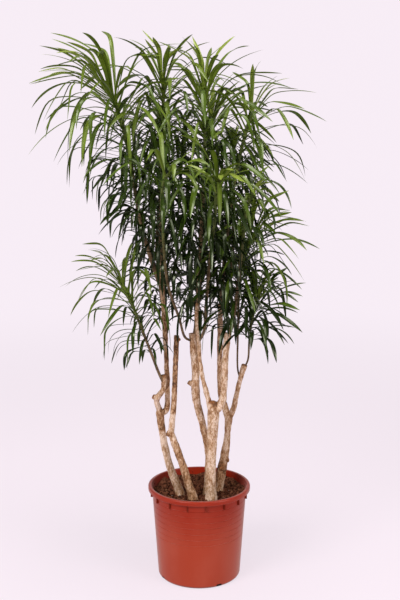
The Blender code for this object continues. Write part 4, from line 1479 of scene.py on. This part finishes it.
# %% How limp, long and wide a leaf is
TIP_LIMP, LOWER_LIMP, LIMP_DEPTH, OLD_LIMP, LIMP_SCATTER = 0.62, 0.82, 0.045, 0.28, 0.33
YOUNG_DEPTH = 0.018
TRY_SHRINK = 0.04
LENGTH_SCATTER = 0.10
YOUNG_WIDTH, TIP_WIDENING, WIDENING_DEPTH, WIDTH_SCATTER = 0.70, 0.44, 0.09, 0.18


def leaf_limpness(head, down, depth, dice):
    """By how many radians a leaf bends over in all, more on older ones."""
    limp = head["limp"] * (TIP_LIMP + LOWER_LIMP * grown_share(depth, LIMP_DEPTH) + OLD_LIMP * down)
    return limp * dice.uniform(1 - LIMP_SCATTER, 1 + LIMP_SCATTER)


def leaf_length(head, down, depth, attempt, dice):
    """Short at the tip, full a little below it, and shorter again on the oldest leaves."""
    length = head["length"] * (head["young"] + (1 - head["young"]) * grown_share(depth, YOUNG_DEPTH))
    length *= (1 - head["fade"] * down**3) * (1 - TRY_SHRINK * attempt)
    return length * dice.uniform(1 - LENGTH_SCATTER, 1 + LENGTH_SCATTER)


def leaf_width(head, depth, dice):
    """Wider near the tip, but for the very youngest."""
    width = head["width"] * dice.uniform(1 - WIDTH_SCATTER, 1 + WIDTH_SCATTER)
    grown = (1 - YOUNG_WIDTH) * grown_share(depth, YOUNG_DEPTH)
    return width * (YOUNG_WIDTH + grown + TIP_WIDENING * math.exp(-depth / WIDENING_DEPTH))


# %% The line that a leaf follows
LEAST_GROWTH, MOST_GROWTH, TIP_STIFFNESS = 1.25, 2.35, 0.8
MOST_KINK, KINK_FIRST, KINK_LAST, KINK_SPAN = 0.95, 0.28, 0.60, 0.24
LEAF_SWEEP, SWEEP_GROWTH = 0.40, 1.5
STEEPEST_FALL = math.radians(-86)


def leaf_line(root, start, limp, length, dice):
    """A leaf's centre line and its headings: it leaves along start and bends under its weight, partly
    in an even arc and partly at one weak place, and sweeps a little to one side."""
    growth = dice.uniform(LEAST_GROWTH, MOST_GROWTH)
    sweep = dice.uniform(-LEAF_SWEEP, LEAF_SWEEP)
    kink, kink_place = dice.uniform(0, MOST_KINK), dice.uniform(KINK_FIRST, KINK_LAST)
    share = (np.arange(LEAF_SECTIONS) + 0.5) / LEAF_SECTIONS
    rise = math.atan2(start[2], math.hypot(start[0], start[1]))
    arc_bend = share**growth * (1 + TIP_STIFFNESS * (1 - share))
    past = np.clip((share - kink_place) / KINK_SPAN, 0, 1)
    bend = (1 - kink) * arc_bend + kink * past**2 * (3 - 2 * past)
    lift = np.maximum(rise - limp * bend, STEEPEST_FALL)
    turn = math.atan2(start[1], start[0]) + sweep * share**SWEEP_GROWTH
    steps = np.column_stack([np.cos(lift) * np.cos(turn), np.cos(lift) * np.sin(turn), np.sin(lift)])
    line = root + np.vstack([[0, 0, 0], np.cumsum(steps * (length / LEAF_SECTIONS), axis=0)])
    return line, np.concatenate([turn[:1], turn])


# %% The blade on its line
LEAF_ROLL, LEAF_TWIST = 0.28, 1.05
FOLD_AT_FOOT, FOLD_LOST = 1.30, 0.75


def blade(line, turn, roll, twist, width):
    """The strap's points, bent along a line and rolled about it."""
    ahead = directions_along(line)
    level = np.column_stack([np.sin(turn), -np.cos(turn), np.zeros(len(turn))])
    level = level - ahead * (level * ahead).sum(axis=1, keepdims=True)
    level = level / np.linalg.norm(level, axis=1, keepdims=True)
    above = np.cross(level, ahead)
    share = np.linspace(0, 1, len(line))
    angle = (roll + twist * share**2)[:, None]
    side = level * np.cos(angle) - above * np.sin(angle)
    top = above * np.cos(angle) + level * np.sin(angle)
    across = strap_grid[:, :, 0] * width
    fold = np.abs(across) * LEAF_FOLD * (FOLD_AT_FOOT - FOLD_LOST * share)[:, None]
    return line[:, None, :] + side[:, None, :] * across[:, :, None] + top[:, None, :] * fold[:, :, None]


# %% Room for a leaf
SHARED_REACH = 0.13
BOX_MARGIN = 0.006
LIMB_CLEARANCE = 0.003
FOOT_SECTIONS = 4

limb_points = np.vstack([limb_route(name) for name in LIMBS])
route_owner = np.concatenate([[i] * len(route) for i, route in enumerate(shoot_routes.values())])
route_points = np.vstack(list(shoot_routes.values()))
box_low = np.array(cad_low) - BOX_MARGIN
box_high = np.array(cad_high) + BOX_MARGIN


def fits(line, owner):
    """True if a leaf stays in the crown's box, about its own stem and clear of the limbs."""
    if (line < box_low).any() or (line > box_high).any():
        return False
    outer = line[LEAF_SECTIONS // 2 :: 4]
    gaps = np.linalg.norm(outer[:, None, :] - route_points[None, :, :], axis=2)
    own = gaps[:, route_owner == owner].min(axis=1)
    other = gaps[:, route_owner != owner].min(axis=1)
    if (other < own - SHARED_REACH).any():
        return False
    spots = line[FOOT_SECTIONS:]
    near = np.linalg.norm(spots[:, None, :] - limb_points[None, :, :3], axis=2)
    return not (near < limb_points[None, :, 3] + LIMB_CLEARANCE).any()


# %% Grow one head
ROOT_REACH = 0.6


def grow_leaf(owner, head, spot, up_stem, number, down, depth, dice):
    """One leaf's blade, or nothing if no try finds room for it."""
    for attempt in range(LEAF_TRIES):
        outward, start = leaf_heading(head, up_stem, number, depth, attempt, dice)
        limp = leaf_limpness(head, down, depth, dice)
        length = leaf_length(head, down, depth, attempt, dice)
        root = spot + outward * head["stem"][1] * ROOT_REACH
        line, turn = leaf_line(root, start, limp, length, dice)
        if fits(line, owner):
            roll = dice.uniform(-LEAF_ROLL, LEAF_ROLL)
            twist = dice.uniform(-LEAF_TWIST, LEAF_TWIST)
            return blade(line, turn, roll, twist, leaf_width(head, depth, dice))
    return None


def grow_head(owner, name):
    """All leaves of one head as (down, blade points) from its tip downwards."""
    head = HEADS[name]
    dice = random.Random(f"fine leaves of {name} {head['seed']}")
    count = round(head["leafy"] / LEAF_SPACING * head["full"])
    grown = []
    for number in range(count):
        down = (number + 0.5) / count
        depth = head["leafy"] * down**TIP_CROWDING
        spot, up_stem = spot_from_tip(shoot_routes[name], depth)
        points = grow_leaf(owner, head, spot, up_stem, number, down, depth, dice)
        if points is not None:
            grown.append((down, points))
    return grown


# %% [markdown]
# A leaf's green depends on its age and its place: yellow-green in the heart of a shoot, fresh on the
# young leaves, deep on the old ones, and darker on the heads at the back, which is painted shade. Each
# leaf is dealt one plain tint, and all leaves of a tint are one joined piece. Their wax gives them a
# clear gloss, tinted a little by the leaf beneath.

# %% Grow and sort the leaves
# Each tint: name, base colour, roughness
LEAF_TINTS = (
    ("heart", (0.215, 0.280, 0.038), 0.34),
    ("young", (0.108, 0.160, 0.013), 0.29),
    ("fresh", (0.056, 0.096, 0.006), 0.26),
    ("full", (0.0255, 0.050, 0.003), 0.24),
    ("deep", (0.0115, 0.0250, 0.0018), 0.24),
    ("shaded", (0.0050, 0.0115, 0.0008), 0.25),
)
TINT_RANGE, TINT_GROWTH, TINT_START, TINT_SCATTER = 5.5, 0.62, -0.15, 0.85
HEART_DOWN = 0.045
tint_dice = random.Random("tints")
leaves_by_tint = [[] for tint in LEAF_TINTS]


def tint_of(down, head):
    """The tint's number for a leaf, by how far down its shoot it sits."""
    age = TINT_RANGE * head["ripe"] * down**TINT_GROWTH + TINT_START + head["dark"]
    age += tint_dice.uniform(-TINT_SCATTER, TINT_SCATTER)
    palest = 0 if down < HEART_DOWN else 1
    return max(palest, min(len(LEAF_TINTS) - 1, int(age)))


for owner, name in enumerate(HEADS):
    grown = grow_head(owner, name)
    for down, points in grown:
        leaves_by_tint[tint_of(down, HEADS[name])].append(points)
    print(f"{name}: {len(grown)} leaves")

# %% Leaf finishes and pieces
MIDRIB_LIGHTER = 0.30
LEAF_GLOSS = 0.52
LEAF_SHINE = (0.92, 1.0, 0.76, 1.0)
LEAF_COAT, COAT_ROUGHNESS = 0.02, 0.2
FOOT_LIGHTER = 0.45
PALE_GAIN, PALE_LIFT, DARK_GAIN = 1.9, 0.02, 0.72


def leaf_finish(name, colour, roughness):
    """A waxy blade: a paler midrib, a paler foot, and slow changes of green."""
    finish = Finish("leaf_" + name, roughness, LEAF_GLOSS, LEAF_COAT, COAT_ROUGHNESS)
    finish.feed(finish.shader.inputs["Specular Tint"], LEAF_SHINE)
    spot = finish.node("UVMap", {"uv_map": "UVMap"}, {})
    parts = finish.tree.nodes.new("ShaderNodeSeparateXYZ")
    finish.feed(parts.inputs[0], spot)
    across, along = Number(finish, parts.outputs["X"]), Number(finish, parts.outputs["Y"])
    from_rib = finish.maths("ABSOLUTE", across - 0.5)
    rib = 1 - finish.between(from_rib, 0.02, 0.10)
    foot = 1 - finish.between(along, 0.0, 0.16)
    clouds = finish.clouds(finish.place(), 26.0, detail=3.0)
    pale = tuple(min(1.0, c * PALE_GAIN + PALE_LIFT) for c in colour)
    darker = tuple(c * DARK_GAIN for c in colour)
    base = finish.mix(finish.between(clouds, 0.35, 0.65), darker, colour)
    finish.colour(finish.mix(rib * MIDRIB_LIGHTER + foot * FOOT_LIGHTER, base, pale))
    return finish.material


# %% The strap's faces and UV map, and the leaf pieces
rows, columns = strap_grid.shape[:2]
low_corner = (np.arange(rows - 1)[:, None] * columns + np.arange(columns - 1)[None, :]).ravel()
strap_faces = np.column_stack([low_corner, low_corner + 1, low_corner + columns + 1, low_corner + columns])
strap_uv = np.stack(
    np.meshgrid(np.linspace(0, 1, columns), np.linspace(0, 1, rows)), axis=2
).reshape(-1, 2)


def crease_midribs(piece):
    """Marks the edges along every midrib sharp, so that each half of a leaf catches its own light."""
    ends = np.empty(len(piece.data.edges) * 2, int)
    piece.data.edges.foreach_get("vertices", ends)
    on_rib = (ends % columns == columns // 2).reshape(-1, 2).all(axis=1)
    layer = piece.data.attributes.new("sharp_edge", "BOOLEAN", "EDGE")
    layer.data.foreach_set("value", on_rib)


for (name, colour, roughness), blades in zip(LEAF_TINTS, leaves_by_tint):
    points = np.array(blades).reshape(-1, 3)
    starts = np.arange(len(blades))[:, None, None] * (rows * columns)
    faces = (strap_faces[None, :, :] + starts).reshape(-1, 4)
    piece = mesh_piece("leaves_" + name, points, faces, np.tile(strap_uv, (len(blades), 1)))
    crease_midribs(piece)
    hand_over(piece, leaf_finish(name, colour, roughness), "leaf", *HEADS)

print(sum(len(blades) for blades in leaves_by_tint), "leaves in all")
